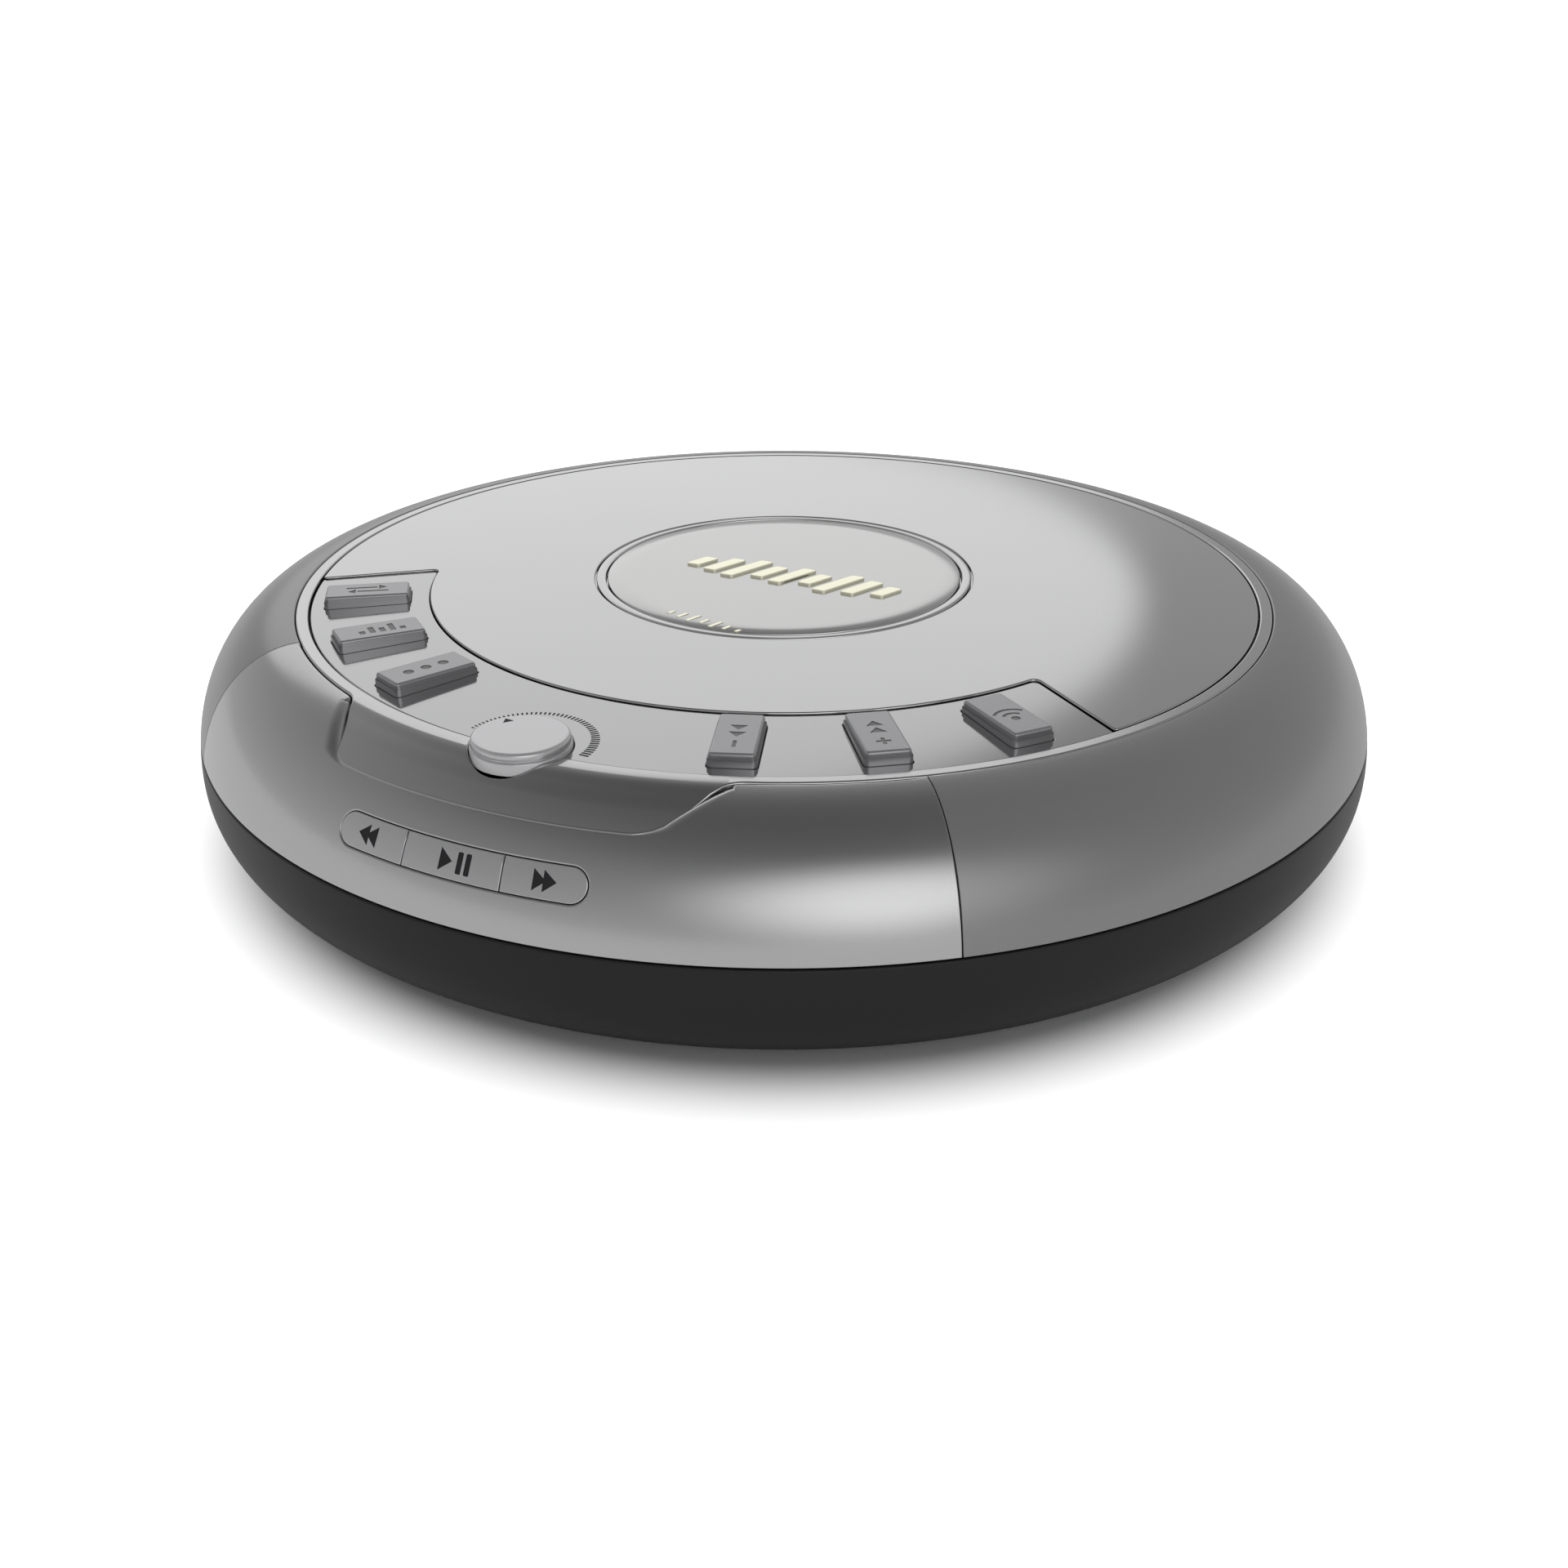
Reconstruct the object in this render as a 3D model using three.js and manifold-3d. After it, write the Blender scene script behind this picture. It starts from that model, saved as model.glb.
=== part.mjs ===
// Portable compact-disc player: a round top-loading body with a hinged lid, a crescent of six
// buttons and a volume knob in front of it, and three transport keys on the front of the case.
// Millimetres, +Z up, -Y to the front, origin on the resting surface under the disc spindle.
import * as THREE from 'three';
import { mergeVertices } from 'three/addons/utils/BufferGeometryUtils.js';
import Module from 'manifold-3d';

const wasm = await Module();
wasm.setup();

// Case
const GAP = 0.3;                 // clearance between neighbouring pieces
const WALL = 2;                  // moulded wall thickness
const FLOOR_Z = 1;               // underside of the base above the resting surface
const BELLY_Z = 16.7;            // height of the widest point
const SEAM_Z = 20.8;             // joint between the black base and the silver band
const LID_Z = 39;                // height of the lid's edge
const RIM_R = 83;                // outside of the ring round the lid
const BELLY_R = 100.9;           // widest radius
const BASE_FLAT_R = 81.5;        // flat circle under the base
const BASE_POWER = 2.2;          // roundness of the lower profile
const ROUND_STEPS = 48;          // facets round the large circles

// Lid, disc and control crescent
const LID_R = 80.85;             // outside of the lid
const LID_THICK = 2;
const LID_DOME = 1.2;            // rise of the lid at its centre
const LID_UNDERCUT = 1.85;       // how far the lid's lower edge is set in, to clear the ring
const CRESCENT_R = 61.2;         // inner edge of the control crescent
const CRESCENT_OUTER_TURN = 62.5; // bearing of the crescent's ends at the rim
const CRESCENT_INNER_TURN = 65.5; // bearing of its ends at the inner edge
const CRESCENT_Z = 38.4;
const WELL_R = 61;               // wall round the 120 mm disc
const WELL_Z = 31;               // floor of the disc well
const BADGE_R = 30.8;
const BADGE_RING_R = 32.7;

// Controls
const BUTTON_TURNS = { repeat: -53.6, equaliser: -37.7, mode: -22, slower: 22, faster: 37.7, radio: 53.6 };
const BUTTON_R = 71.4;           // radius of the buttons' centres
const BUTTON_LONG = 14.2;
const BUTTON_WIDE = 7;
const BUTTON_Z = 40.8;           // tops of the buttons
const KEY_TURNS = { rewind: -8.1, play: 0.3, forward: 8.7 };
const KEY_Z = 29.4;              // height of the transport keys' centres
const KEY_TILT = 29.1;           // slope of the case there, above the horizontal
const KEY_R = 97.7;              // radius of the case there
const KEY_TALL = 5.8;
const KEY_WIDE = 13.5;
const KNOB_Y = -79.8;
const KNOB_R = 7;
const KNOB_Z = 41.3;             // top of the volume knob
const POCKET_R = 7.6;            // round pocket that the knob turns in
const SHELF_TURN = 19;           // half angle of the scooped shelf in front of the knob
const SHELF_R = 92.6;            // how far out the shelf reaches
const SHELF_CORNER = 6;
const PANEL_TURN = 40.5;         // half angle of the front panel

// Lid hinge and latch
const HINGE = { y: 88, z: 31 };
const ARM_ROUTE = [[0, 0], [-2.5, -9.2], [-14, -6.1], [-20.6, 4.6]]; // from the hinge rod to the lid
const ARM_X = 16;                // distance of each arm from the middle
const ARM_WIDE = 4;
const ARM_THICK = 3;
const LATCH_TURN = -95;
const OPEN_Z = 28.5;             // height of the open button

// Disc drive
const LENS_X = 23;               // radius where a disc's first track starts
const LENS_TRAVEL = 34;
const ROD_Y = 9;                 // guide rods either side of the sled
const ROD_Z = 24;
const RACK_Y = 13;               // pitch line of the sled's rack
const GEAR_R = 8;                // pitch radius of the drive gear
const GEAR_TEETH = 20;
const GEAR_X = 28;

// Battery bay for two AA cells side by side
const BAY = { x: 28, front: -74, back: -42, top: 18.4 };

const rad = THREE.MathUtils.degToRad;

// --- Solids -------------------------------------------------------------------------------

function solid(geometry) {
  let plain = geometry.index ? geometry.toNonIndexed() : geometry.clone();
  plain.deleteAttribute('normal');
  plain.deleteAttribute('uv');
  plain = mergeVertices(plain, 1e-4);
  return new wasm.Manifold(new wasm.Mesh({
    numProp: 3,
    vertProperties: new Float32Array(plain.attributes.position.array),
    triVerts: new Uint32Array(plain.index.array),
  }));
}

function mesh(name, body, material) {
  const raw = body.getMesh();
  const geometry = new THREE.BufferGeometry();
  geometry.setAttribute('position', new THREE.BufferAttribute(new Float32Array(raw.vertProperties), 3));
  geometry.setIndex(new THREE.BufferAttribute(new Uint32Array(raw.triVerts), 1));
  geometry.computeVertexNormals();
  const item = new THREE.Mesh(geometry, material);
  item.name = name;
  return item;
}

function union(bodies) {
  return bodies.reduce((whole, next) => whole.add(next));
}

function cut(body, tools) {
  return tools.reduce((whole, tool) => whole.subtract(tool), body);
}

// A closed outline of [radius, height] points turned about the Z axis.
function turned(outline, steps = ROUND_STEPS) {
  const points = outline.map(([r, z]) => new THREE.Vector2(r, z));
  if (outline[0][0] > 0) points.push(points[0].clone());
  const geometry = new THREE.LatheGeometry(points, steps);
  geometry.rotateX(Math.PI / 2);
  const body = solid(geometry);
  if (body.volume() > 0) return body;
  return turned([...outline].reverse(), steps);
}

function rings(inner, outer, low, high, steps = ROUND_STEPS) {
  return turned([[inner, low], [outer, low], [outer, high], [inner, high]], steps);
}

function disc(x, y, radius, low, high, steps = 24) {
  const geometry = new THREE.CylinderGeometry(radius, radius, high - low, steps);
  geometry.rotateX(Math.PI / 2);
  geometry.translate(x, y, (low + high) / 2);
  return solid(geometry);
}

function block(x0, x1, y0, y1, z0, z1) {
  const geometry = new THREE.BoxGeometry(x1 - x0, y1 - y0, z1 - z0);
  geometry.translate((x0 + x1) / 2, (y0 + y1) / 2, (z0 + z1) / 2);
  return solid(geometry);
}

function prism(shape, low, high, curve = 8) {
  const settings = { depth: high - low, bevelEnabled: false, curveSegments: curve };
  const geometry = new THREE.ExtrudeGeometry(shape, settings);
  geometry.translate(0, 0, low);
  return solid(geometry);
}

// A block drawn for bearing 0 (the front) and turned to another bearing.
// across, out and up are [low, high] pairs; out is the distance from the spindle.
function placed(turn, across, out, up) {
  const geometry = new THREE.BoxGeometry(across[1] - across[0], out[1] - out[0], up[1] - up[0]);
  geometry.translate((across[0] + across[1]) / 2, -(out[0] + out[1]) / 2, (up[0] + up[1]) / 2);
  geometry.rotateZ(rad(turn));
  return solid(geometry);
}

// A pie slice between two bearings, wide enough to reach past the case.
function slice(from, to, low, high, reach = 130) {
  const shape = new THREE.Shape();
  shape.moveTo(0, 0);
  const steps = Math.ceil((to - from) / 20);
  for (let i = 0; i <= steps; i += 1) {
    const angle = rad(from + (to - from) * i / steps - 90);
    shape.lineTo(reach * Math.cos(angle), reach * Math.sin(angle));
  }
  return prism(shape, low, high);
}

// A cylinder that lies along a bearing, from one distance to another.
function radialPin(turn, z, radius, near, far, steps = 16) {
  const geometry = new THREE.CylinderGeometry(radius, radius, far - near, steps);
  geometry.translate(0, -(near + far) / 2, 0);
  geometry.translate(0, 0, z);
  geometry.rotateZ(rad(turn));
  return solid(geometry);
}

// --- Case profile -------------------------------------------------------------------------

function upperProfile(inset, from, steps) {
  const points = [];
  const start = Math.asin((from - BELLY_Z) / (LID_Z - BELLY_Z - inset));
  for (let i = 0; i <= steps; i += 1) {
    const t = start + (Math.PI / 2 - start) * i / steps;
    const r = RIM_R + GAP + (BELLY_R - RIM_R - GAP - inset) * Math.cos(t);
    points.push([r, BELLY_Z + (LID_Z - BELLY_Z - inset) * Math.sin(t)]);
  }
  return points;
}

function lowerProfile(inset, steps) {
  const points = [];
  for (let i = 0; i <= steps; i += 1) {
    const t = (Math.PI / 2) * i / steps;
    const across = Math.sin(t) ** (2 / BASE_POWER);
    const down = Math.cos(t) ** (2 / BASE_POWER);
    const z = BELLY_Z - (BELLY_Z - FLOOR_Z - inset) * down;
    points.push([BASE_FLAT_R + (BELLY_R - BASE_FLAT_R - inset) * across, z]);
  }
  return points;
}

function bandShell() {
  const low = SEAM_Z + GAP / 2;
  const outer = upperProfile(0, low, 5);
  const inner = upperProfile(WALL, low, 3);
  return turned([...outer, ...inner.reverse()]);
}

// --- Outer case ---------------------------------------------------------------------------

const SCREWS = [35, 145, 215, 325].map((a) => [70 * Math.cos(rad(a)), 70 * Math.sin(rad(a))]);
const FEET = [50, 130, 230, 310].map((a) => [74 * Math.cos(rad(a)), 74 * Math.sin(rad(a))]);
const JACKS = { headphone_jack: -72, line_jack: -84, dc_jack: -112 };
const JACK_Z = 12;
const HOLD_TURN = -60;
const HOLD_TRAVEL = 4;

function baseShell() {
  const top = SEAM_Z - GAP / 2;
  const outer = [[0, FLOOR_Z], ...lowerProfile(0, 5), [BELLY_R - 0.3, top]];
  const inner = [...lowerProfile(WALL, 3), [BELLY_R - WALL - 0.3, top]].reverse();
  const shell = turned([...outer, ...inner, [0, FLOOR_Z + WALL]]);
  const bosses = SCREWS.map(([x, y]) => disc(x, y, 3.6, FLOOR_Z + 1, 8.6, 10));
  const posts = [[-46, 30], [46, 30], [-40, 62], [40, 62]].map(([x, y]) => disc(x, y, 2, FLOOR_Z + 1, 5.6, 8));
  const holes = SCREWS.flatMap(([x, y]) => [disc(x, y, 1.5, 0, 9, 8), disc(x, y, 2.6, 0, 3.2, 8)]);
  const footSeats = FEET.map(([x, y]) => disc(x, y, 6.4, 0, 1.9, 12));
  const sockets = Object.values(JACKS).map((turn) => radialPin(turn, JACK_Z, 4.1, 90, 110, 10));
  const holdSlot = placed(HOLD_TURN, [-5.2, 5.2], [90, 110], [JACK_Z - 1.9, JACK_Z + 1.9]);
  const bay = block(-BAY.x, BAY.x, BAY.front, BAY.back, 0, 5);
  return cut(union([shell, ...bosses, ...posts]), [...holes, ...footSeats, ...sockets, holdSlot, bay]);
}

function rearBumper() {
  const band = bandShell().intersect(slice(PANEL_TURN + 0.1, 360 - PANEL_TURN - 0.1, 0, 60));
  return band.subtract(placed(LATCH_TURN, [-8.3, 8.3], [88, 110], [OPEN_Z - 3.8, OPEN_Z + 3.8]));
}

// Plan outline of the shelf in front of the knob: a sector with rounded outer corners.
function shelfShape(grow) {
  const outer = SHELF_R + grow;
  const side = rad(SHELF_TURN) + grow / outer;
  const corner = SHELF_CORNER;
  const corners = Math.asin(corner / (outer - corner));
  const shape = new THREE.Shape();
  shape.moveTo(RIM_R * -Math.sin(side) * 0.97, -RIM_R * Math.cos(side) * 0.97);
  const along = (outer - corner) * Math.cos(corners);
  shape.lineTo(-along * Math.sin(side), -along * Math.cos(side));
  const centre = side - corners;
  const middle = outer - corner;
  const down = -Math.PI / 2;
  const left = [-middle * Math.sin(centre), -middle * Math.cos(centre)];
  shape.absarc(left[0], left[1], corner, down - side - Math.PI / 2, down - centre, false);
  shape.absarc(0, 0, outer, down - centre, down + centre, false);
  shape.absarc(-left[0], left[1], corner, down + centre, down + side + Math.PI / 2, false);
  shape.lineTo(RIM_R * Math.sin(side) * 0.97, -RIM_R * Math.cos(side) * 0.97);
  return shape;
}

// The transport keys' outline in their own plane: the end keys have one round end.
function keyShape(end, grow) {
  const half = KEY_WIDE / 2 + grow;
  const tall = KEY_TALL / 2 + grow;
  const shape = new THREE.Shape();
  const straight = half - tall;
  if (end > 0) {
    shape.moveTo(-half, -tall);
    shape.lineTo(straight, -tall);
    shape.absarc(straight, 0, tall, -Math.PI / 2, Math.PI / 2, false);
    shape.lineTo(-half, tall);
  } else if (end < 0) {
    shape.moveTo(half, tall);
    shape.lineTo(-straight, tall);
    shape.absarc(-straight, 0, tall, Math.PI / 2, 3 * Math.PI / 2, false);
    shape.lineTo(half, -tall);
  } else {
    shape.moveTo(-half, -tall);
    shape.lineTo(half, -tall);
    shape.lineTo(half, tall);
    shape.lineTo(-half, tall);
  }
  shape.closePath();
  return shape;
}

function keySolid(name, grow, deep, proud) {
  const ends = { rewind: -1, play: 0, forward: 1 };
  const depth = deep + proud;
  const settings = { depth, bevelEnabled: false, curveSegments: 8 };
  const geometry = new THREE.ExtrudeGeometry(keyShape(ends[name], grow), settings);
  geometry.translate(0, 0, -deep);
  geometry.rotateX(Math.PI / 2 - rad(KEY_TILT));
  geometry.translate(0, -KEY_R, KEY_Z);
  geometry.rotateZ(rad(KEY_TURNS[name]));
  return solid(geometry);
}

function frontPanel() {
  const band = bandShell().intersect(slice(-PANEL_TURN + 0.1, PANEL_TURN - 0.1, 0, 60));
  const keys = Object.keys(KEY_TURNS).map((name) => keySolid(name, 0.35, 5, 6));
  return cut(band, [prism(shelfShape(GAP), 25, 60, 5), ...keys]);
}

function knobHoles(low) {
  return [disc(0, KNOB_Y, POCKET_R, KNOB_Z - 4.1, 60, 32), disc(0, KNOB_Y, 4.2, low, 60, 20)];
}

function topRing() {
  const lip = rings(LID_R + GAP, RIM_R, 34.8, LID_Z);
  const ledge = rings(79.2, RIM_R - 0.5, 34.8, 36);
  const skirt = rings(79.2, 80.4, 32.4, 35);
  const surface = upperProfile(0.8, 28, 5).filter(([, z]) => z > 0);
  const under = upperProfile(WALL + 0.6, 28, 4).reverse();
  const collar = turned([...surface, [RIM_R - 0.6, LID_Z - 0.8], [RIM_R - 0.6, LID_Z - WALL - 0.6], ...under]);
  const shelf = collar.intersect(prism(shelfShape(0), 25, 60, 5));
  const armSlots = [-1, 1].map((side) => block(side * ARM_X - 3.5, side * ARM_X + 3.5, 60, 81, 30, 36.1));
  const potHole = block(-6, 6, -90, KNOB_Y + 6, 30, 34.8);
  return cut(union([lip, ledge, skirt, shelf]), [...armSlots, potHole, ...knobHoles(30)]);
}

// --- Control crescent ---------------------------------------------------------------------

function crescentShape(inner, outer, inset) {
  const innerTurn = rad(CRESCENT_INNER_TURN) - inset / inner;
  const outerTurn = rad(CRESCENT_OUTER_TURN) - inset / outer;
  const down = -Math.PI / 2;
  const shape = new THREE.Shape();
  shape.absarc(0, 0, outer, down - outerTurn, down + outerTurn, false);
  shape.absarc(0, 0, inner, down + innerTurn, down - innerTurn, true);
  shape.closePath();
  return shape;
}

function buttonSolid(turn, grow, low, high) {
  const across = BUTTON_WIDE / 2 + grow;
  const along = BUTTON_LONG / 2 + grow;
  return placed(turn, [-across, across], [BUTTON_R - along, BUTTON_R + along], [low, high]);
}

function controlCrescent() {
  const plate = prism(crescentShape(CRESCENT_R, LID_R, 0), CRESCENT_Z - 2, CRESCENT_Z, 14);
  const windows = Object.values(BUTTON_TURNS).map((turn) => buttonSolid(turn, 0.35, 30, 50));
  return cut(plate, [...windows, ...knobHoles(30)]);
}

function button(turn) {
  const across = BUTTON_WIDE / 2 + 0.9;
  const along = BUTTON_LONG / 2;
  const flange = placed(turn, [-across, across], [BUTTON_R - along, BUTTON_R + along], [35, CRESCENT_Z - 2.4]);
  return buttonSolid(turn, 0, 35, BUTTON_Z).add(flange);
}

function keyBoard() {
  const board = prism(crescentShape(63.2, 78.2, 1), 32.4, 33.4, 10);
  const switches = Object.values(BUTTON_TURNS).map((turn) => placed(turn, [-2, 2], [69.4, 73.4], [33.2, 33.9]));
  return union([board, ...switches]).subtract(disc(0, KNOB_Y, 7.2, 30, 36, 20));
}

function volumeKnob() {
  const outline = [[0, KNOB_Z], [KNOB_R - 1, KNOB_Z], [KNOB_R, KNOB_Z - 0.9], [KNOB_R + 0.2, KNOB_Z - 3.8],
    [3.4, KNOB_Z - 3.8], [3.4, KNOB_Z - 1.6], [0, KNOB_Z - 1.6]];
  return turned(outline, 24).translate([0, KNOB_Y, 0]);
}

function volumePot() {
  const can = block(-5.5, 5.5, KNOB_Y - 5.5, KNOB_Y + 5.5, 24, 30);
  return can.add(disc(0, KNOB_Y, 3, 29, KNOB_Z - 2, 20));
}

// --- Lid ----------------------------------------------------------------------------------

function lidHeight(r) {
  return LID_Z + LID_DOME * (1 - (r / LID_R) ** 2);
}

function lidPanel() {
  const radii = [0, 34, 60];
  const upper = [...radii, LID_R].map((r) => [r, lidHeight(r)]);
  const lower = [...radii, LID_R - LID_UNDERCUT].map((r) => [r, lidHeight(r) - LID_THICK]);
  const plate = turned([...lower, ...upper.reverse()]);
  const notch = prism(crescentShape(CRESCENT_R - GAP, LID_R + 10, -GAP), 30, 50, 14);
  const badgeSeat = disc(0, 0, BADGE_RING_R + GAP, LID_Z - 0.1, 50, 32);
  return cut(plate, [notch, badgeSeat]);
}

function lidBadge() {
  const top = LID_Z + LID_DOME - 0.05;
  return turned([[0, LID_Z + 0.2], [BADGE_R, LID_Z + 0.2], [BADGE_R, top - 0.15], [20, top], [0, top]], 32);
}

function badgeRing() {
  return rings(BADGE_R + GAP, BADGE_RING_R, LID_Z + 0.2, LID_Z + 0.95, 32);
}

// A generic sound-level mark: a thin line crossed by bars of rising and falling height.
function emblem() {
  const low = LID_Z + LID_DOME + 0.25;
  const high = low + 0.4;
  const bars = [2, 3.6, 6, 9.6, 6.8, 4.2, 7.6, 5, 3, 1.8];
  const pitch = 4.1;
  const left = 2.8 - pitch * (bars.length - 1) / 2;
  const line = block(left - 1.5, left + pitch * (bars.length - 1) + 1.5, -3.2, -2, low, high);
  return union([line, ...bars.map((tall, i) => {
    const x = left + pitch * i;
    return block(x - 0.9, x + 0.9, -2.6 - tall / 2, -2.6 + tall / 2, low, high);
  })]);
}

// A rounded bar between two points of the vertical plane, wide along X.
function bar([y0, z0], [y1, z1], x, wide, thick) {
  const length = Math.hypot(y1 - y0, z1 - z0);
  const shape = new THREE.Shape();
  shape.absarc(0, 0, thick / 2, Math.PI / 2, 3 * Math.PI / 2, false);
  shape.absarc(length, 0, thick / 2, -Math.PI / 2, Math.PI / 2, false);
  shape.closePath();
  const geometry = new THREE.ExtrudeGeometry(shape, { depth: wide, bevelEnabled: false, curveSegments: 3 });
  geometry.rotateZ(Math.atan2(z1 - z0, y1 - y0));
  const toSide = new THREE.Matrix4().set(0, 0, 1, x - wide / 2, 1, 0, 0, y0, 0, 1, 0, z0, 0, 0, 0, 1);
  geometry.applyMatrix4(toSide);
  return solid(geometry);
}

function alongX(radius, x0, x1, y, z, steps = 16) {
  const geometry = new THREE.CylinderGeometry(radius, radius, x1 - x0, steps);
  geometry.rotateZ(Math.PI / 2);
  geometry.translate((x0 + x1) / 2, y, z);
  return solid(geometry);
}

function hingeArm(side) {
  const route = ARM_ROUTE.map(([y, z]) => [HINGE.y + y, HINGE.z + z]);
  const links = route.slice(1).map((end, i) => bar(route[i], end, side * ARM_X, ARM_WIDE, ARM_THICK));
  const eye = alongX(2.4, side * ARM_X - ARM_WIDE / 2, side * ARM_X + ARM_WIDE / 2, HINGE.y, HINGE.z);
  const bore = alongX(1.3, side * ARM_X - 5, side * ARM_X + 5, HINGE.y, HINGE.z);
  return union([...links, eye]).subtract(bore);
}

function hingeBracket() {
  const ears = [-1, 1].map((side) => {
    const inner = side * (ARM_X + 4.2);
    const outer = side * (ARM_X + 6.2);
    return block(Math.min(inner, outer), Math.max(inner, outer), 84.8, 89.4, 12, 32.9);
  });
  const bridge = block(-ARM_X - 6.2, ARM_X + 6.2, 84.8, 89.4, 12, 15);
  return cut(union([bridge, ...ears]), [alongX(1.3, -40, 40, HINGE.y, HINGE.z)]);
}

function lidHook() {
  const stem = placed(LATCH_TURN, [-3, 3], [70.5, 72.5], [28, 36.8]);
  return stem.add(placed(LATCH_TURN, [-3, 3], [70.5, 74.6], [28, 29.4]));
}

function openButton() {
  const cap = placed(LATCH_TURN, [-8, 8], [92.5, 98], [OPEN_Z - 3.5, OPEN_Z + 3.5]);
  return cap.add(placed(LATCH_TURN, [-3, 3], [77.6, 94], [OPEN_Z - 2, OPEN_Z + 1.5]));
}

// --- Disc deck and drive ------------------------------------------------------------------

function discDeck() {
  const outline = [[15.4, WELL_Z - 1.5], [WELL_R + 3, WELL_Z - 1.5], [WELL_R + 3, 30.6], [80.4, 30.6],
    [80.4, 32.1], [WELL_R + 1.6, 32.1], [WELL_R + 1.6, WELL_Z], [15.4, WELL_Z]];
  const posts = SCREWS.map(([x, y]) => disc(x, y, 3.6, 8.9, 31, 10));
  const bores = SCREWS.map(([x, y]) => disc(x, y, 1.4, 0, 24, 8));
  const lensWindow = block(14, WELL_R - 0.4, -7, 7, 25, WELL_Z + 1);
  const armSlots = [-1, 1].map((side) => block(side * ARM_X - 3.5, side * ARM_X + 3.5, 64.2, 90, 25, 40));
  const hookSlot = placed(LATCH_TURN, [-5, 5], [69.5, 76], [25, 40]);
  const potHole = block(-6, 6, -90, KNOB_Y + 6, 25, 40);
  return cut(union([turned(outline), ...posts]), [...bores, lensWindow, ...armSlots, hookSlot, potHole]);
}

function wellWall() {
  return rings(WELL_R, WELL_R + 1.6, WELL_Z, 36.1);
}

function turntable() {
  return turned([[0, 34.4], [6.2, 34.4], [7.4, 33.4], [7.4, 32.6], [14.5, 32.6], [14.5, 31.4], [9, 31.4],
    [9, 27.4], [1, 27.4], [1, 22.5], [0, 22.5]], 24);
}

function spindleMotor() {
  return disc(0, 0, 10.5, 20.3, 27, 28).subtract(disc(0, 0, 1.35, 22, 28, 12));
}

function mechanismChassis() {
  const plate = block(-34, 69, -21, 31, 18.4, 20);
  const holders = [-1, 1].flatMap((side) => [[8.8, 11.5], [62.7, 65.4]].map(([from, to]) => {
    const y = [side * ROD_Y - 1.8, side * ROD_Y + 1.8];
    return block(from, to, y[0], y[1], 19, 26.2);
  }));
  const dampers = [[-30, -17], [-30, 27], [65, -17], [65, 27]].map(([x, y]) => disc(x, y, 2.6, 19, 29, 14));
  const bores = [-1, 1].map((side) => alongX(1.35, 0, 80, side * ROD_Y, ROD_Z, 12));
  const gearHole = disc(GEAR_X, RACK_Y + GEAR_R, 2.2, 10, 24, 14);
  return cut(union([plate, ...holders, ...dampers]), [...bores, gearHole]);
}

function guideRod(side) {
  return alongX(1.05, 7, 67, side * ROD_Y, ROD_Z, 12);
}

// Half widths and heights of a straight-flanked tooth, from root to tip about the pitch line.
const TOOTH = { rootHalf: 0.86, tipHalf: 0.28, root: -0.9, tip: 0.6 };
const TOOTH_PITCH = 2 * Math.PI * GEAR_R / GEAR_TEETH;

function rack() {
  const after = 2;
  const before = Math.ceil(LENS_TRAVEL / TOOTH_PITCH) + 1;
  const start = GEAR_X - (before + 0.5) * TOOTH_PITCH;
  const end = GEAR_X + (after + 0.5) * TOOTH_PITCH;
  const shape = new THREE.Shape();
  shape.moveTo(start, RACK_Y - 1.8);
  shape.lineTo(end, RACK_Y - 1.8);
  shape.lineTo(end, RACK_Y + TOOTH.root);
  for (let i = after; i >= -before; i -= 1) {
    const x = GEAR_X + TOOTH_PITCH * i;
    shape.lineTo(x + TOOTH.rootHalf, RACK_Y + TOOTH.root);
    shape.lineTo(x + TOOTH.tipHalf, RACK_Y + TOOTH.tip);
    shape.lineTo(x - TOOTH.tipHalf, RACK_Y + TOOTH.tip);
    shape.lineTo(x - TOOTH.rootHalf, RACK_Y + TOOTH.root);
  }
  shape.lineTo(start, RACK_Y + TOOTH.root);
  return prism(shape, 21, 24);
}

function pickupSled() {
  const carriage = block(LENS_X - 11, LENS_X + 5, -11, 10.7, 21, 27.4);
  const link = block(LENS_X - 11, LENS_X + 5, 10.5, RACK_Y - 1.5, 21, 24);
  const lensTower = block(LENS_X - 3, LENS_X + 3, -5.5, 5.5, 27, 29);
  const bores = [-1, 1].map((side) => alongX(1.35, 0, 80, side * ROD_Y, ROD_Z, 12));
  return cut(union([carriage, lensTower]), bores).add(link).add(rack());
}

function driveGear() {
  const shape = new THREE.Shape();
  for (let i = 0; i < GEAR_TEETH; i += 1) {
    const angle = 2 * Math.PI * (i + 0.5) / GEAR_TEETH - Math.PI / 2;
    const rootTurn = Math.asin(TOOTH.rootHalf / (GEAR_R + TOOTH.root));
    const tipTurn = Math.asin(TOOTH.tipHalf / (GEAR_R + TOOTH.tip));
    for (const [radius, turn] of [[GEAR_R + TOOTH.root, -rootTurn], [GEAR_R + TOOTH.tip, -tipTurn],
      [GEAR_R + TOOTH.tip, tipTurn], [GEAR_R + TOOTH.root, rootTurn]]) {
      const point = [radius * Math.cos(angle + turn), radius * Math.sin(angle + turn)];
      if (i === 0 && turn === -rootTurn) shape.moveTo(...point);
      else shape.lineTo(...point);
    }
  }
  shape.closePath();
  return prism(shape, 21, 24).add(disc(0, 0, 1, 15, 24, 12)).translate([GEAR_X, RACK_Y + GEAR_R, 0]);
}

function pickupLens() {
  return turned([[0, 30.3], [1.6, 30.3], [2.6, 29.9], [2.6, 29.3], [0, 29.3]], 20).translate([LENS_X, 0, 0]);
}

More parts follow.
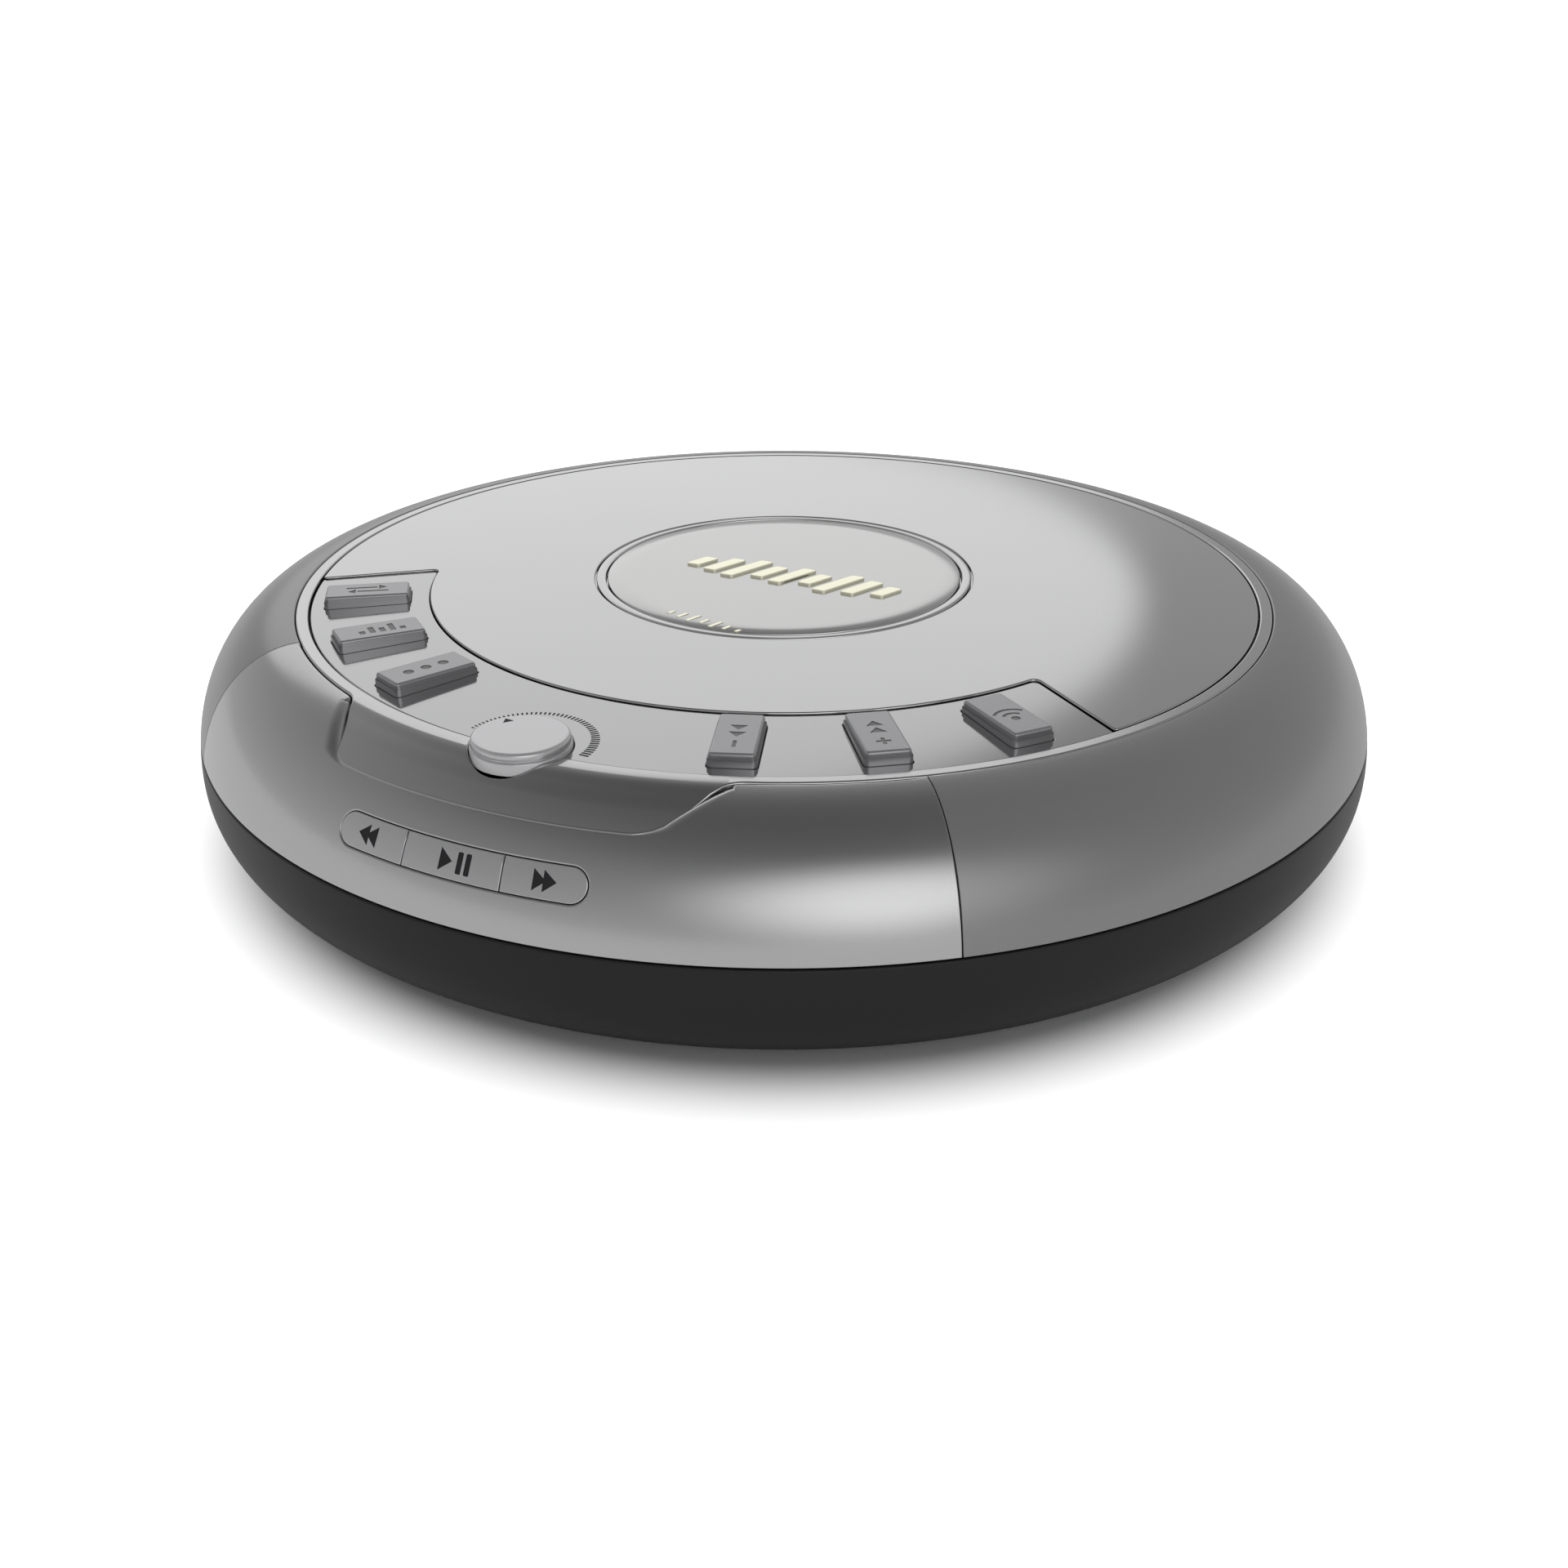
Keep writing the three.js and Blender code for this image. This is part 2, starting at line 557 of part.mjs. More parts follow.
function sledMotor() {
  const shaftHole = disc(0, 0, 1.35, 14.6, 19, 12);
  return disc(0, 0, 6, 9, 18.1, 20).subtract(shaftHole).translate([GEAR_X, RACK_Y + GEAR_R, 0]);
}

// --- Power, boards and sockets ------------------------------------------------------------

function batteryTray() {
  const outer = block(-BAY.x - 1.6, BAY.x + 1.6, BAY.front - 1.6, BAY.back + 1.6, 3.4, BAY.top + 1.5);
  return outer.subtract(block(-BAY.x, BAY.x, BAY.front, BAY.back, 0, BAY.top));
}

function batteryDoor() {
  const plate = block(-BAY.x + 0.4, BAY.x - 0.4, BAY.front + 0.4, BAY.back - 0.4, FLOOR_Z + 0.1, 2.8);
  const starts = [4, 6.4, 8.8].map((step) => BAY.front + step);
  const grips = starts.map((y) => block(-6, 6, y, y + 1, 0.6, FLOOR_Z + 0.3));
  return cut(plate, grips);
}

function coilSpring(x0, y, z, reach, turns, radius, wire) {
  class Coil extends THREE.Curve {
    getPoint(t, target = new THREE.Vector3()) {
      const angle = t * turns * 2 * Math.PI;
      const r = radius * (1 - 0.35 * t);
      return target.set(x0 + reach * t, y + r * Math.cos(angle), z + r * Math.sin(angle));
    }
  }
  const section = new THREE.Shape();
  section.absarc(0, 0, wire, 0, 2 * Math.PI, false);
  const options = { steps: turns * 8, extrudePath: new Coil(), curveSegments: 2, bevelEnabled: false };
  return solid(new THREE.ExtrudeGeometry(section, options));
}

function batteryLink() {
  return block(-BAY.x + 0.4, -BAY.x + 0.9, BAY.front + 3, BAY.back - 3, 6, 15);
}

function mainBoard() {
  const shape = new THREE.Shape();
  shape.moveTo(-50, 26);
  shape.lineTo(50, 26);
  shape.lineTo(50, 60);
  shape.lineTo(34, 72);
  shape.lineTo(-34, 72);
  shape.lineTo(-50, 60);
  shape.closePath();
  return prism(shape, 5.9, 7.5);
}

function chip(x0, x1, y0, y1, tall) {
  return block(x0, x1, y0, y1, 7.8, 7.8 + tall);
}

function transportBoard() {
  const geometry = new THREE.BoxGeometry(44, 9, 1);
  geometry.translate(0, 0, -8.4);
  geometry.rotateX(Math.PI / 2 - rad(KEY_TILT));
  geometry.translate(0, -KEY_R, KEY_Z);
  return solid(geometry);
}

function jack(turn, bore) {
  const housing = placed(turn, [-5.2, 5.2], [82, 93.2], [JACK_Z - 4.2, JACK_Z + 4.2]);
  const collar = radialPin(turn, JACK_Z, 3.6, 92.8, 99.6, 16);
  return housing.add(collar).subtract(radialPin(turn, JACK_Z, bore, 84, 105, 12));
}

function holdSwitch() {
  const start = -HOLD_TRAVEL / 2;
  const tab = placed(HOLD_TURN, [start - 2.6, start + 2.6], [95, 101], [JACK_Z - 1.5, JACK_Z + 1.5]);
  return tab.add(placed(HOLD_TURN, [start - 2.6, start + 2.6], [94, 95.9], [JACK_Z - 2.8, JACK_Z + 2.8]));
}

function foot([x, y]) {
  const outline = [[0, 0], [5.2, 0], [6, 0.6], [6, 1.6], [0, 1.6]];
  return turned(outline, 12).translate([x, y, 0]);
}

function screw([x, y]) {
  const outline = [[0, 1.4], [2.2, 1.4], [2.2, 2.9], [1, 2.9], [1, 20], [0, 20]];
  return turned(outline, 8).translate([x, y, 0]);
}

// --- Materials ----------------------------------------------------------------------------

function finish(color, roughness, metalness = 0) {
  return new THREE.MeshStandardMaterial({ color, roughness, metalness });
}

const silver = finish(0xc9cacb, 0.32, 0.3);
const panelSilver = finish(0xb4b5b7, 0.35, 0.3);
const crescentGrey = finish(0xaaabae, 0.25, 0.2);
const buttonGrey = finish(0x8f9094, 0.35, 0.2);
const bumperGrey = finish(0x6c6a6d, 0.4, 0.2);
const black = finish(0x1b1b1c, 0.5);
const darkKey = finish(0xa9aaad, 0.35, 0.2);
const gold = finish(0xc9bd9a, 0.35, 0.6);
const deckGrey = finish(0x3a3b3d, 0.55);
const steel = finish(0xbfc1c4, 0.3, 0.9);
const board = finish(0x1f5a36, 0.6);
const rubber = finish(0x202022, 0.85);
const glass = finish(0x3c5a8c, 0.1);
const whitePlastic = finish(0xdedcd4, 0.5);

// --- Assembly -----------------------------------------------------------------------------

const player = new THREE.Group();

function add(name, body, material) {
  player.add(mesh(name, body, material));
}

add('base_shell', baseShell(), black);
add('rear_bumper', rearBumper(), bumperGrey);
add('front_panel', frontPanel(), panelSilver);
add('top_ring', topRing(), silver);
add('control_crescent', controlCrescent(), crescentGrey);
add('disc_deck', discDeck(), deckGrey);
add('well_wall', wellWall(), deckGrey);

add('lid_panel', lidPanel(), silver);
add('lid_badge', lidBadge(), silver);
add('badge_ring', badgeRing(), panelSilver);
add('emblem', emblem(), gold);
add('hinge_arm_left', hingeArm(-1), deckGrey);
add('hinge_arm_right', hingeArm(1), deckGrey);
add('lid_hook', lidHook(), deckGrey);
add('hinge_bracket', hingeBracket(), deckGrey);
add('hinge_rod', alongX(1, -23.4, 23.4, HINGE.y, HINGE.z), steel);

for (const [name, turn] of Object.entries(BUTTON_TURNS)) {
  add(`${name}_button`, button(turn), buttonGrey);
}
for (const name of Object.keys(KEY_TURNS)) {
  add(`${name}_key`, keySolid(name, 0, 3.6, 0.3), darkKey);
}
add('key_board', keyBoard(), board);
add('transport_board', transportBoard(), board);
add('volume_knob', volumeKnob(), buttonGrey);
add('volume_control', volumePot(), steel);
add('open_button', openButton(), buttonGrey);
add('hold_switch', holdSwitch(), buttonGrey);

add('turntable', turntable(), black);
add('spindle_motor', spindleMotor(), steel);
add('mechanism_chassis', mechanismChassis(), steel);
add('guide_rod_front', guideRod(-1), steel);
add('guide_rod_rear', guideRod(1), steel);
add('pickup_sled', pickupSled(), whitePlastic);
add('pickup_lens', pickupLens(), glass);
add('drive_gear', driveGear(), whitePlastic);
add('sled_motor', sledMotor(), steel);

add('battery_tray', batteryTray(), black);
add('battery_door', batteryDoor(), black);
add('battery_spring_front', coilSpring(BAY.x - 0.8, -66, 10.6, -6, 4, 4.2, 0.45), steel);
add('battery_spring_rear', coilSpring(BAY.x - 0.8, -50, 10.6, -6, 4, 4.2, 0.45), steel);
add('battery_link', batteryLink(), steel);
add('main_board', mainBoard(), board);
add('decoder_chip', chip(-10, 6, 38, 54, 1.4), black);
add('tuner_module', chip(-38, -20, 42, 56, 4), steel);
for (const [name, turn] of Object.entries(JACKS)) {
  add(name, jack(turn, name === 'dc_jack' ? 2.6 : 1.8), black);
}

FEET.forEach((place, i) => add(`foot_${i + 1}`, foot(place), rubber));
SCREWS.forEach((place, i) => add(`case_screw_${i + 1}`, screw(place), steel));

export default player;
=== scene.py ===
# Portable compact-disc player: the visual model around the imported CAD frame.
import math

import bmesh
import bpy
import numpy as np
from mathutils import Matrix, Vector
from mathutils.geometry import delaunay_2d_cdt


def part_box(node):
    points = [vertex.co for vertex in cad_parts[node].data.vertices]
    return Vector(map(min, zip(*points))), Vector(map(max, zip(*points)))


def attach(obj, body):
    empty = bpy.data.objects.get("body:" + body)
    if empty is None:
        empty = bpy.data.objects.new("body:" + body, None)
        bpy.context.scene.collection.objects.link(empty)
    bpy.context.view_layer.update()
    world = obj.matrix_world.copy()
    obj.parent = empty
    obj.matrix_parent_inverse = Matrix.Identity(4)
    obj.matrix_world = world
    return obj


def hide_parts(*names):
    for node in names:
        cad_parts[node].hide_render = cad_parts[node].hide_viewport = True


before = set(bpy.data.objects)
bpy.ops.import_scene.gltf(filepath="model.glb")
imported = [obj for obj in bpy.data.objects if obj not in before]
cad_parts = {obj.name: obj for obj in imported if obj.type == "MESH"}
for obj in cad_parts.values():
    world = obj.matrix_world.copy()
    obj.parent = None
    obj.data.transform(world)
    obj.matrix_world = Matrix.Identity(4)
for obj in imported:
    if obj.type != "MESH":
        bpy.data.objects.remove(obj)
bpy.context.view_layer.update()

MM = 0.001

# Driving sizes, in millimetres and degrees, as in the CAD model. R is a radius, Z a height, and TURN a
# bearing in plan: 0 is the front, positive towards +X.
BELLY_R, BELLY_Z = 100.9, 16.7
RIM_R, LID_Z = 83.0, 39.0
FLOOR_Z, FLAT_R, BASE_POWER = 1.0, 81.5, 2.2
SEAM_Z, GAP, WALL = 20.8, 0.3, 2.0
LID_R, LID_DOME, LID_THICK, LID_UNDERCUT = 80.85, 1.2, 2.0, 1.85
CRESCENT_R, CRESCENT_SINK = 61.2, 0.35
CRESCENT_OUTER_TURN, CRESCENT_INNER_TURN, LID_GAP = 62.5, 65.5, 0.15
PANEL_TURN = 40.5
BADGE_R, BADGE_RING_R = 30.8, 32.7
KNOB_Y, KNOB_Z, POCKET_R = -79.8, 40.6, 7.35
SCALE_Y, SCALE_R, TICKS = -78.3, 10.1, 46
BUTTON_R, BUTTON_LONG, BUTTON_WIDE, BUTTON_Z = 71.4, 14.2, 7.0, 40.8
MARK_SIZE = 1.35
BUTTON_TURNS = {
    "repeat": -53.6, "equaliser": -37.7, "mode": -22.0,
    "slower": 22.0, "faster": 37.7, "radio": 53.6,
}
KEY_TURN, KEY_TILT, KEY_HALF, KEY_TALL = 0.3, 34.7, 20.8, 5.9
KEY_SPLITS, KEY_GAP = (-8.0, 7.9), 0.07
SHELF_R, SHELF_FOOT_TURN, SHELF_TOP_TURN = 92.8, 16.2, 22.6
LATCH_TURN, OPEN_Z = -95.0, 28.5
HOLD_TURN = -60.0
JACK_Z, JACK_TURNS = 12.0, (-72.0, -84.0, -112.0)

# The case's upper profile is a quarter ellipse. Its panels are laid out on a flat sheet: a bearing
# times ACROSS, the keys' radius, and an angle up the ellipse times UP, its mean half size.
ACROSS = 97.7
UP = 20.97
SHEET_TOP = math.pi / 2 * UP - 0.02


def node_mid(name):
    """The middle of a CAD node's box, in millimetres."""
    low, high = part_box(name)
    return (low + high) / (2 * MM)


def new_object(name, data):
    """A new object in the scene."""
    item = bpy.data.objects.new(name, data)
    bpy.context.scene.collection.objects.link(item)
    return item


# --- Meshes -------------------------------------------------------------------------------

SHARP = math.radians(35)
GRID_CLEARANCE = 0.5
FILLET_STEPS = 4
NO_POINTS = np.zeros((0, 2))


class Build:
    """Collects points with their own normals, and faces, in millimetres."""

    def __init__(self):
        self.points, self.normals, self.faces, self.flat, self.slots = [], [], [], [], []

    def add(self, points, normals):
        first = len(self.points)
        self.points.extend(map(tuple, points))
        self.normals.extend(map(tuple, normals))
        return np.arange(first, first + len(points))

    def face(self, indices, flat=False, slot=0):
        self.faces.append([int(i) for i in indices])
        self.flat.append(flat)
        self.slots.append(slot)

    def strip(self, upper, lower, flat=False):
        """Quads between two closed rings; the material lies left of the rings' direction."""
        for i in range(len(upper)):
            j = (i + 1) % len(upper)
            self.face([upper[i], lower[i], lower[j], upper[j]], flat)

    def piece(self, name, materials):
        mesh = bpy.data.meshes.new(name)
        mesh.from_pydata([tuple(c * MM for c in p) for p in self.points], [], self.faces)
        for material in materials:
            mesh.materials.append(material)
        mesh.polygons.foreach_set("material_index", self.slots)
        mesh.polygons.foreach_set("use_smooth", [True] * len(self.faces))
        mesh.update()
        split = []
        for polygon, flat in zip(mesh.polygons, self.flat):
            own = tuple(polygon.normal)
            for v in polygon.vertices:
                split.append(own if flat else self.normals[v])
        mesh.normals_split_custom_set(split)
        return new_object(name, mesh)


def unit(v):
    """Vectors scaled to length 1."""
    v = np.asarray(v, float)
    return v / np.maximum(np.linalg.norm(v, axis=-1, keepdims=True), 1e-12)


def side_normals(loop):
    """Mitred normals that point to the left of a closed loop, where its material is."""
    along = unit(np.roll(loop, -1, 0) - loop)
    left = np.stack([-along[:, 1], along[:, 0]], 1)
    before = np.roll(left, 1, 0)
    return (left + before) / np.maximum(1 + np.sum(left * before, 1, keepdims=True), 0.3)


def inset(loop, depth):
    """The loop moved into its material by a depth, or by one depth for each point."""
    return loop + side_normals(loop) * depth


def inside(points, loop):
    """Which points lie within a closed loop."""
    x, y = points[:, 0][:, None], points[:, 1][:, None]
    a, b = loop, np.roll(loop, -1, 0)
    crosses = (a[:, 1] > y) != (b[:, 1] > y)
    with np.errstate(divide="ignore", invalid="ignore"):
        at = (b[:, 0] - a[:, 0]) * (y - a[:, 1]) / (b[:, 1] - a[:, 1]) + a[:, 0]
    return np.sum(crosses & (x < at), 1) % 2 == 1


def near(points, loop, reach):
    """Which points lie closer than reach to a closed loop."""
    a, b = loop, np.roll(loop, -1, 0)
    span = b - a
    length = np.maximum(np.sum(span ** 2, 1), 1e-12)
    hit = np.zeros(len(points), bool)
    for start in range(0, len(points), 400):
        p = points[start:start + 400][:, None, :]
        t = np.clip(np.sum((p - a) * span, 2) / length, 0, 1)
        gap = np.linalg.norm(p - (a + t[..., None] * span), axis=2)
        hit[start:start + 400] = gap.min(1) < reach
    return hit


def fill(loops, grid):
    """Triangles over a region: the first loop is its edge, the others are holes. Gives the vertices, the
    given point that each one comes from, the triangles, and how many given points are on loops."""
    points = [np.asarray(loop) for loop in loops]
    edges, first = [], 0
    for loop in points:
        n = len(loop)
        edges += [(first + i, first + (i + 1) % n) for i in range(n)]
        first += n
    count = first
    everything = np.concatenate(points + [grid])
    made = delaunay_2d_cdt([Vector(p) for p in everything], edges, [], 0, 1e-7)
    vertices = np.array([tuple(v) for v in made[0]])
    origin = [min(o) if o else -1 for o in made[3]]
    triangles = np.array(made[2])
    middle = vertices[triangles].mean(1)
    keep = inside(middle, points[0])
    for hole in points[1:]:
        keep &= ~inside(middle, hole)
    return vertices, origin, triangles[keep], count


def clear_of(grid, loops):
    """The grid's points inside the first loop, outside the others, and not too near any of them."""
    keep = inside(grid, loops[0])
    for hole in loops[1:]:
        keep &= ~inside(grid, hole)
    grid = grid[keep]
    for loop in loops:
        grid = grid[~near(grid, loop, GRID_CLEARANCE)]
    return grid


class Skin(Build):
    """A mesh whose points are laid out flat. cover(points, drop) puts them on the object, at a depth
    below its surface, and gives their normals."""

    def __init__(self, cover):
        super().__init__()
        self.cover = cover

    def lay(self, points, drop, lean=None, out=None):
        """Adds points. A lean turns their normals from out, the loop's outward side, to the surface's."""
        spots, normals = self.cover(points, drop)
        if lean is not None:
            probe, _ = self.cover(points + out * 0.01, drop)
            normals = unit(normals * math.sin(lean) + unit(probe - spots) * math.cos(lean))
        return self.add(spots, normals)

    def fillet(self, loop, radius, squash):
        """The rounded edge along a loop: its inner loop, inner and outer points, and outward side."""
        out = -unit(side_normals(loop))
        radius = np.full(len(loop), 1.0) * radius
        laid = []
        for a in np.linspace(0, math.pi / 2, FILLET_STEPS + 1):
            bend = inset(loop, radius[:, None] * (1 - math.cos(a)))
            lean = math.atan2(math.sin(a), squash * math.cos(a))
            laid.append(self.lay(bend, radius * squash * (1 - math.sin(a)), lean, out))
        for low, high in zip(laid[:-1], laid[1:]):
            self.strip(high, low)
        return inset(loop, radius[:, None]), laid[-1], laid[0], out

    def sheet(self, loops, laid, grid, drop=0.0, under=False, slot=0):
        """Fills the region between loops whose points are laid, facing up, or down for an underside."""
        vertices, origin, triangles, count = fill(loops, grid)
        known = np.concatenate(laid)
        spots, normals = self.cover(vertices, drop)
        if under:
            normals = -normals
        index = []
        for i, source in enumerate(origin):
            if 0 <= source < count:
                index.append(int(known[source]))
            else:
                index.append(int(self.add(spots[i:i + 1], normals[i:i + 1])[0]))
        for corners in triangles:
            corners = corners[::-1] if under else corners
            self.face([index[i] for i in corners], under, slot)

    def bottom(self, loop, laid, slot=0):
        """The flat floor of a hole or pocket, whose loop runs clockwise."""
        _, origin, triangles, _ = fill([loop[::-1]], NO_POINTS)
        turned = laid[::-1]
        for corners in triangles:
            self.face([turned[origin[i]] for i in corners], True, slot)


def skin(name, loops, cover, materials, fillet, levels, grid=NO_POINTS, floors=None, pockets=(),
         under_grid=NO_POINTS, squash=1.0, under_slot=0):
    """A moulded panel. loops: its edge, anticlockwise, then its holes, clockwise. fillet: one radius,
    or a list with one for each loop, or for each of its points; squash makes it shallower than wide.
    levels: (inset, drop) steps down the walls, to the underside. grid, under_grid: points that let the
    upper and lower skin follow the cover. floors: {loop: depth} for holes that have a floor.
    pockets: (loop, depth, slot) of sharp recesses."""
    build = Skin(cover)
    loops = [np.asarray(loop, float) for loop in loops]
    fillets = fillet if isinstance(fillet, list) else [fillet] * len(loops)
    floors = floors or {}
    edges = [build.fillet(loop, radius, squash) for loop, radius in zip(loops, fillets)]
    pocket_loops = [np.asarray(pocket[0], float) for pocket in pockets]
    rims = [build.lay(loop, 0.0) for loop in pocket_loops]
    upper_loops = [edge[0] for edge in edges] + pocket_loops
    build.sheet(upper_loops, [edge[1] for edge in edges] + rims, clear_of(grid, upper_loops))
    for rim, loop, (_, depth, slot) in zip(rims, pocket_loops, pockets):
        low = build.lay(loop, depth)
        build.strip(rim, low, True)
        build.bottom(loop, low, slot)
    lower_loops, lower_laid = [], []
    for n, (loop, (_, _, upper, out)) in enumerate(zip(loops, edges)):
        for depth, drop in [(0, floors[n])] if n in floors else levels:
            at = inset(loop, depth)
            lower = build.lay(at, drop, 0.0, out)
            build.strip(upper, lower)
            upper = lower
        if n in floors:
            build.bottom(at, upper)
        else:
            lower_loops.append(at)
            lower_laid.append(upper)
    build.sheet(lower_loops, lower_laid, under_grid, levels[-1][1], True, under_slot)
    return build.piece(name, materials)


def lathe(name, outline, material, steps=192, centre=(0, 0)):
    """Turns a closed outline of (radius, height) points about a vertical axis."""
    points, faces, rows = [], [], []
    for r, z in outline:
        if r < 1e-6:
            rows.append([len(points)] * steps)
            points.append((centre[0] * MM, centre[1] * MM, z * MM))
            continue
        rows.append(list(range(len(points), len(points) + steps)))
        for i in range(steps):
            a = 2 * math.pi * i / steps
            x, y = centre[0] + r * math.cos(a), centre[1] + r * math.sin(a)
            points.append((x * MM, y * MM, z * MM))
    pairs = list(zip(rows[:-1], rows[1:]))
    if outline[0][0] > 1e-6:
        pairs.append((rows[-1], rows[0]))
    for upper, lower in pairs:
        for i in range(steps):
            j = (i + 1) % steps
            face = list(dict.fromkeys([upper[i], upper[j], lower[j], lower[i]]))
            if len(face) > 2:
                faces.append(face)
    return shaded(name, points, faces, material)


def shaded(name, points, faces, material=None):
    """A closed mesh, smooth except at its sharp edges."""
    mesh = bpy.data.meshes.new(name)
    mesh.from_pydata(points, [], faces)
    if material:
        mesh.materials.append(material)
    mesh.polygons.foreach_set("use_smooth", [True] * len(faces))
    mesh.update()
    item = new_object(name, mesh)
    outward(item)
    item.data.set_sharp_from_angle(angle=SHARP)
    return item


def outward(item):
    """Turns the faces of a closed mesh to face out."""
    work = bmesh.new()
    work.from_mesh(item.data)
    bmesh.ops.recalc_face_normals(work, faces=work.faces)
    work.to_mesh(item.data)
    work.free()


def round_corners(outline, radii, steps):
    """A polygon of (a, b) points with some corners rounded: radii is {index: radius}."""
    rounded = []
    n = len(outline)
    for i, corner in enumerate(outline):
        if i not in radii:
            rounded.append(tuple(corner))
            continue
        here = np.array(corner, float)
        to_last = unit(np.array(outline[i - 1], float) - here)
        to_next = unit(np.array(outline[(i + 1) % n], float) - here)
        half = math.acos(np.clip(np.dot(to_last, to_next), -1, 1)) / 2
        radius = radii[i]
        reach = radius / math.tan(half)
        centre = here + unit(to_last + to_next) * radius / math.sin(half)
        start = here + to_last * reach - centre
        end = here + to_next * reach - centre
        sweep = math.pi - 2 * half
        sign = np.sign(start[0] * end[1] - start[1] * end[0])
        for k in range(steps + 1):
            a = sign * sweep * k / steps
            x = start[0] * math.cos(a) - start[1] * math.sin(a)
            y = start[0] * math.sin(a) + start[1] * math.cos(a)
            rounded.append((centre[0] + x, centre[1] + y))
    return rounded


def apply_modifiers(item):
    """Turns what a piece's modifiers make into its own mesh."""
    bpy.context.view_layer.update()
    graph = bpy.context.evaluated_depsgraph_get()
    mesh = bpy.data.meshes.new_from_object(item.evaluated_get(graph))
    item.modifiers.clear()
    item.data = mesh


def carve(item, cutters):
    """Cuts the cutters out of a piece and removes them."""
    for cutter in cutters:
        cut = item.modifiers.new("cut", "BOOLEAN")
        cut.object = cutter
        cut.operation = "DIFFERENCE"
        cut.solver = "EXACT"
    apply_modifiers(item)
    for cutter in cutters:
        bpy.data.objects.remove(cutter)
    item.data.set_sharp_from_angle(angle=SHARP)
    return item


def block(low, high, radius, turn=0.0):
    """A cutter: a box with rounded edges, drawn for the front and turned to a bearing."""
    x, y, z = ((low[i] * MM, high[i] * MM) for i in range(3))
    corners = [(x[i], y[j], z[k]) for i in (0, 1) for j in (0, 1) for k in (0, 1)]
    faces = [(0, 1, 3, 2), (4, 6, 7, 5), (0, 4, 5, 1), (2, 3, 7, 6), (0, 2, 6, 4), (1, 5, 7, 3)]
    item = shaded("cutter", corners, faces)
    bevel = item.modifiers.new("round", "BEVEL")
    bevel.width = radius * MM
    bevel.segments = 3
    bevel.harden_normals = True
    apply_modifiers(item)
    item.data.transform(Matrix.Rotation(math.radians(turn), 4, "Z"))
    item.data.set_sharp_from_angle(angle=math.radians(60))
    return item


def join(name, items):
    """Makes one piece of several."""
    whole = bmesh.new()
    materials = []
    for item in items:
        part = item.data
        shift = {}
        for i, material in enumerate(part.materials):
            if material not in materials:
                materials.append(material)
            shift[i] = materials.index(material)
        before = len(whole.faces)
        whole.from_mesh(part)
        whole.faces.ensure_lookup_table()
        for face in whole.faces[before:]:
            face.material_index = shift.get(face.material_index, 0)
    mesh = bpy.data.meshes.new(name)
    whole.to_mesh(mesh)
    whole.free()
    for material in materials:
        mesh.materials.append(material)
    for item in items:
        bpy.data.objects.remove(item)
    return new_object(name, mesh)


def place(item, body, slot, *nodes):
    """Rides the piece on its body and hides the CAD nodes that it stands for."""
    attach(item, body)
    if nodes:
        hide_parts(*nodes)


# --- Outlines -----------------------------------------------------------------------------

def polar(r, bearing):
    """The plan point at a radius and a bearing: 0 is the front, positive towards +X."""
    a = np.radians(bearing)
    return np.stack([r * np.sin(a), -r * np.cos(a)], -1)


def arc(r, start, end, step=1.2):
    """Plan points along a circle between two bearings."""
    count = max(2, int(abs(end - start) / step) + 1)
    return polar(np.full(count, r), np.linspace(start, end, count))


def circle(x, y, r, count, backwards=False):
    """A circle, anticlockwise or, for a hole, backwards."""
    a = np.linspace(0, 2 * math.pi, count, endpoint=False)
    loop = np.stack([x + r * np.cos(a), y + r * np.sin(a)], 1)
    return loop[::-1] if backwards else loop


def dense(loop, step):
    """Splits long edges so that a curved cover is followed."""
    out = []
    for a, b in zip(loop, np.roll(loop, -1, 0)):
        n = max(1, int(np.linalg.norm(b - a) / step))
        out += [a + (b - a) * k / n for k in range(n)]
    return np.array(out)


def rounded_rect(long, wide, radius, steps=5):
    """A rectangle about the origin, long in Y and wide in X, with rounded corners."""
    half = [(-wide / 2, -long / 2), (wide / 2, -long / 2), (wide / 2, long / 2), (-wide / 2, long / 2)]
    return np.array(round_corners(half, {i: radius for i in range(4)}, steps))


def moved(loop, centre, turn=0.0):
    """A loop drawn about the origin for the front, turned to a bearing and moved to its centre."""
    a = math.radians(turn)
    spin = np.array([[math.cos(a), math.sin(a)], [-math.sin(a), math.cos(a)]])
    return np.asarray(loop) @ spin + np.asarray(centre)


def plan_grid(reach, step):
    """Rings of points whose spacing is even, for a round panel."""
    points = [np.zeros((1, 2))]
    for r in np.arange(step, reach, step):
        points.append(circle(0, 0, r, max(8, int(2 * math.pi * r / step))))
    return np.concatenate(points)


def lattice(columns, rows):
    """Points at every crossing of some columns and rows."""
    x, y = np.meshgrid(columns, rows)
    return np.stack([x.ravel(), y.ravel()], 1)


# --- Covers: flat layouts onto the object's surfaces ----------------------------------------

def plan_cover(height):
    """A surface given by its height over the plan."""
    def cover(points, drop):
        x, y = points[:, 0], points[:, 1]
        e = 0.05
        slope_x = (height(x + e, y) - height(x - e, y)) / (2 * e)
        slope_y = (height(x, y + e) - height(x, y - e)) / (2 * e)
        spots = np.stack([x, y, height(x, y) - np.ravel(drop)], 1)
        return spots, unit(np.stack([-slope_x, -slope_y, np.ones_like(x)], 1))
    return cover


def level(z):
    return plan_cover(lambda x, y: np.full_like(x, z))


def lid_height(x, y):
    return LID_Z + LID_DOME * (1 - (x ** 2 + y ** 2) / LID_R ** 2)


